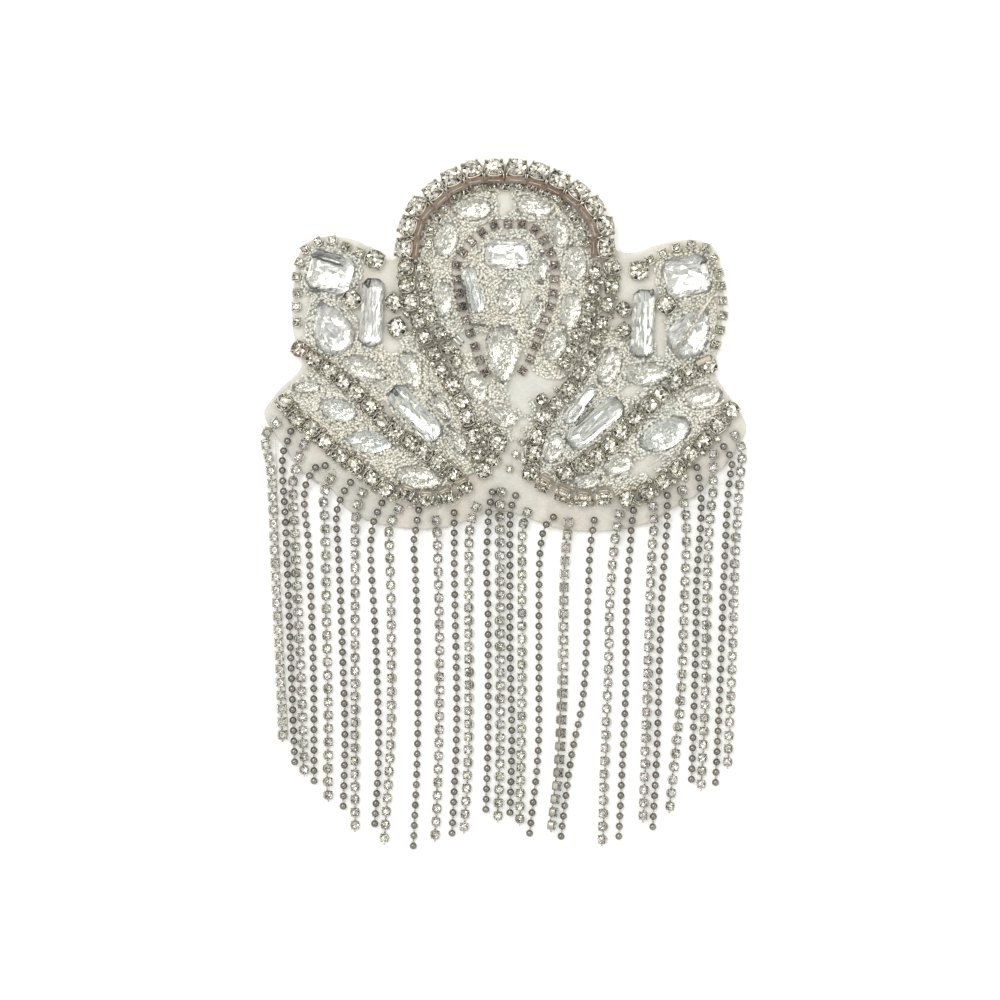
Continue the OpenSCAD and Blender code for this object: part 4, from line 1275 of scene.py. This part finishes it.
# Bugle beads: pixel, pixel, height, angle in degrees, length and radius.
for u, v, z, angle, length, radius in (
        (451, 350, 2.9, -45, 2.8, 0.36), (454, 346, 2.9, -45, 3.0, 0.36), (457, 342, 2.9, -45, 3.0, 0.36),
        (460, 339, 2.9, -45, 2.8, 0.36), (708, 362, 2.9, 30, 2.8, 0.36), (706, 359, 2.9, 30, 2.8, 0.36),
        (412, 496, 4.6, 62, 2.6, 0.34), (432, 499, 4.6, 86, 2.7, 0.36), (452, 497, 4.6, 100, 2.6, 0.34)):
    turn = basis(UP, heading(math.radians(angle))) * (length, radius, radius)
    bugles.stamp(BUGLE, turn, np.array([*at(u, v), z]))
bugles.make("bugle_beads", [BEAD, LINING], "stone")

ribbed = Shape()  # the beige bar at the end of the right wing's row, with its ribs and a painted highlight strip down its middle
x = heading(math.radians(25))
y = np.cross(UP, x)
for off, width, long, lift, mat in ((0, 1.5, 1.8, 0, 0), (-0.45, 0.3, 1.7, 0.2, 0), (0.45, 0.3, 1.7, 0.2, 0),
                                    (0, 0.28, 1.3, 0.22, 1)):
    middle = line_at([(703, 361, 4.15 + lift)])[0] + y * off
    bar(ribbed, middle, x * long, section(y, UP, width, -0.15, 0.12, 0.35), mat)
ribbed.make("ribbed_bars", [BEIGE, HIGHLIGHT_PLATE], "cups")

# ---- painted shade of the sewing holes, and threads

hole_shades = Shape()
# Near-black blocks at the stones' ends, painted shade for the sewing holes: pixel, pixel, length and width,
# turn in degrees.
for u, v, length, width, turn in (
        (369, 284, 2.2, 1.0, 72), (314, 291, 2.4, 0.8, -8), (651.5, 293, 1.8, 1.1, 80),
        (396, 393, 1.9, 1.2, -58), (585, 417, 6.4, 0.6, 47), (465, 296, 9.6, 0.55, -76),
        (329, 262, 8.0, 0.5, -17), (478, 325, 4.4, 0.6, -3), (703, 262, 2.2, 0.5, 40)):
    c = at(u, v)
    under = [s for s, ring in zip(STONES, RINGS) if inside(c[None], ring)[0]]
    stone = under[0] if under else min(STONES, key=lambda s: np.linalg.norm(s["middle"] - c))
    x = heading(math.radians(turn))[:2] * length
    y = np.array([-x[1], x[0]]) * width / length
    corner = np.array([c - x / 2, c - x * 0.3 - y / 2, c + x * 0.35 - y * 0.4, c + x / 2, c + x * 0.3 + y / 2,
                       c - x * 0.35 + y * 0.4])
    top = stone["z"] + stone["h"] * 0.86
    hole_shades.closed(*bands([level(corner, stone["z"] + 0.4 * stone["h"]), level(corner, top),
                         level(c + (corner - c) * 0.8, top + 0.05)]), 0, True)
hole_shades.make("sewing_hole_shades", [HOLE_SHADE], "stone")

singles = Shape()  # single claw-set stones and a loop of wire on the felt
pick = random.Random(77)
for u, v, size in SMALL:
    lean = (pick.uniform(-0.25, 0.25), pick.uniform(-0.25, 0.25), 1.0)
    turn = basis(lean, (math.cos(pick.uniform(0, 3)), 1, 0)) * (size, size, 1.7)
    singles.stamp(pick.choice(CHAIN_CUP), turn, np.array([*at(u, v), FELT_T - 0.05]))
wire_loop = line_at([(334, 469, 1.9), (336, 476, 2.1), (331, 482, 2.0), (323, 485, 1.9), (315, 482, 1.9),
                     (311, 476, 2.0), (312, 470, 1.9)])
tube(singles, resample(wire_loop, spacing=0.4), 0.15, 6, CLAW)
singles.make("small_cups", [PLATE, PLATE, CHATON, CHATON_FOIL], "cups")

threads = Shape()
# Sewing threads: radius, then pixel, pixel and height for each point.
for radius, *line in (
        (0.10, (262, 426, 1.7), (266, 434, 2.0), (272, 441, 1.4), (279, 447, 1.7)),
        (0.10, (275, 430, 1.7), (276, 445, 1.3), (276.5, 470, 0.3), (278, 540, 0.25), (281, 600, 0.25),
         (285, 680, 0.25), (288, 735, 0.25)),
        (0.12, (318, 466, 1.8), (322, 476, 2.0), (326, 484, 2.0), (334, 487, 1.9), (330, 474, 1.8)),
        (0.12, (447, 498, 1.8), (452, 505, 2.4), (458, 503, 2.4), (462, 496, 1.8)),
        (0.12, (521, 372, 1.8), (530, 360, 2.2), (536, 348, 2.2), (540, 338, 1.8)),
        (0.12, (640, 414, 1.8), (632, 425, 2.6), (622, 436, 2.6), (612, 446, 1.8)),
        (0.12, (560, 470, 1.8), (580, 462, 2.6), (600, 452, 2.6), (606, 447, 1.8)),
        (0.12, (690, 430, 1.8), (676, 446, 2.4), (660, 458, 2.4), (648, 466, 1.8))):
    tube(threads, resample(line_at(line), spacing=0.5), radius)
# The twisted cord over the right wing's drop: two strands round one line.
CORD_R, STRAND_R = 0.26, 0.23  # from the line to each strand's middle, and the strand's own radius
cord = resample(line_at([(674, 356, 1.8), (678, 349, 4.2), (688, 334, 4.75), (698, 317, 4.75),
                         (707, 303, 4.4), (713, 295, 1.8)]), spacing=0.3)
for phase in (0, math.pi):
    turns = np.arange(len(cord)) * 0.75 + phase
    around = np.outer(np.cos(turns), (0.84, 0.54, 0)) + np.outer(np.sin(turns), UP)
    tube(threads, cord + CORD_R * around, STRAND_R)
threads.make("sewing_threads", [THREAD], "felt")

# ---- felt fibres

FIBRES, FIBRE_R = 1500, 0.022
fibres = Shape()
pick = random.Random(21)
for _ in range(FIBRES):
    j = pick.randrange(len(EDGE))
    base = EDGE[j] + INWARD[j] * pick.uniform(0.1, 0.5)
    q = np.array([base[0], base[1], pick.uniform(0.3, FELT_T - 0.1)])
    bearing = math.atan2(-INWARD[j][1], -INWARD[j][0]) + pick.uniform(-1.3, 1.3)
    length = pick.uniform(0.5, 1.2)
    climb = pick.uniform(-0.1, 0.25)
    points = []
    for _ in range(4):
        points.append(q.copy())
        bearing += pick.uniform(-0.7, 0.7)
        q = q + (heading(bearing) + UP * climb) * length / 3
        q[2] = max(0.05, q[2])
    tube(fibres, points, FIBRE_R, 3, 0, 0.5)
fibres.make("felt_edge_fibres", [FIBRE], "felt")

# ---- floor and light

FLOOR_HALF, FLOOR_Z = 3.0, -0.00003  # metres
floor_mesh = bpy.data.meshes.new("studio_floor")
corners = ((-1, -1), (1, -1), (1, 1), (-1, 1))
floor_mesh.from_pydata([(x * FLOOR_HALF, y * FLOOR_HALF, FLOOR_Z) for x, y in corners], [], [(0, 1, 2, 3)])
floor_mesh.materials.append(mottled(
    "floor_white", (3, 3), [(0.3, (0.93, 0.93, 0.93)), (0.7, (0.95, 0.95, 0.95))], Roughness=0.9,
    Specular_IOR_Level=0.1, Emission_Color=(1.0, 1.0, 0.985, 1.0), Emission_Strength=0.11))
floor = bpy.data.objects.new("studio_floor", floor_mesh)
bpy.context.scene.collection.objects.link(floor)

world = bpy.data.worlds.new("studio")
bpy.context.scene.world = world
world.use_nodes = True
tree = world.node_tree
split = coordinate(tree, "Generated", node(tree, "SeparateXYZ"))
sky = ramp(tree, split.outputs["Z"], [
    (0.0, (0.48, 0.48, 0.47)), (0.25, (0.66, 0.66, 0.64)), (0.42, (1.0, 0.995, 0.955)),
    (0.80, (1.0, 0.995, 0.955)), (0.90, (0.62, 0.617, 0.59)), (1.0, (0.50, 0.497, 0.475))])
tree.links.new(sky, tree.nodes["Background"].inputs["Color"])
tree.nodes["Background"].inputs["Strength"].default_value = 1.14

AIM = Vector((0, -0.037, 0))
# Each light's name, place, size in metres and power in watts.
for name, place, size, power in (("key_softbox", (-0.55, 0.55, 1.75), 1.2, 14),
                                 ("fill_softbox", (1.2, -0.5, 1.4), 0.8, 3)):
    light = bpy.data.lights.new(name, "AREA")
    light.shape = "DISK"
    light.size = size
    light.energy = power
    light.color = (1.0, 0.985, 0.945)
    obj = bpy.data.objects.new(name, light)
    obj.location = place
    obj.rotation_euler = (AIM - Vector(place)).to_track_quat("-Z", "Y").to_euler()
    bpy.context.scene.collection.objects.link(obj)
bpy.context.scene.view_settings.view_transform = "Standard"
bpy.context.scene.view_settings.look = "None"
bpy.context.scene.view_settings.exposure = 0.0
bpy.context.scene.view_settings.gamma = 1.0
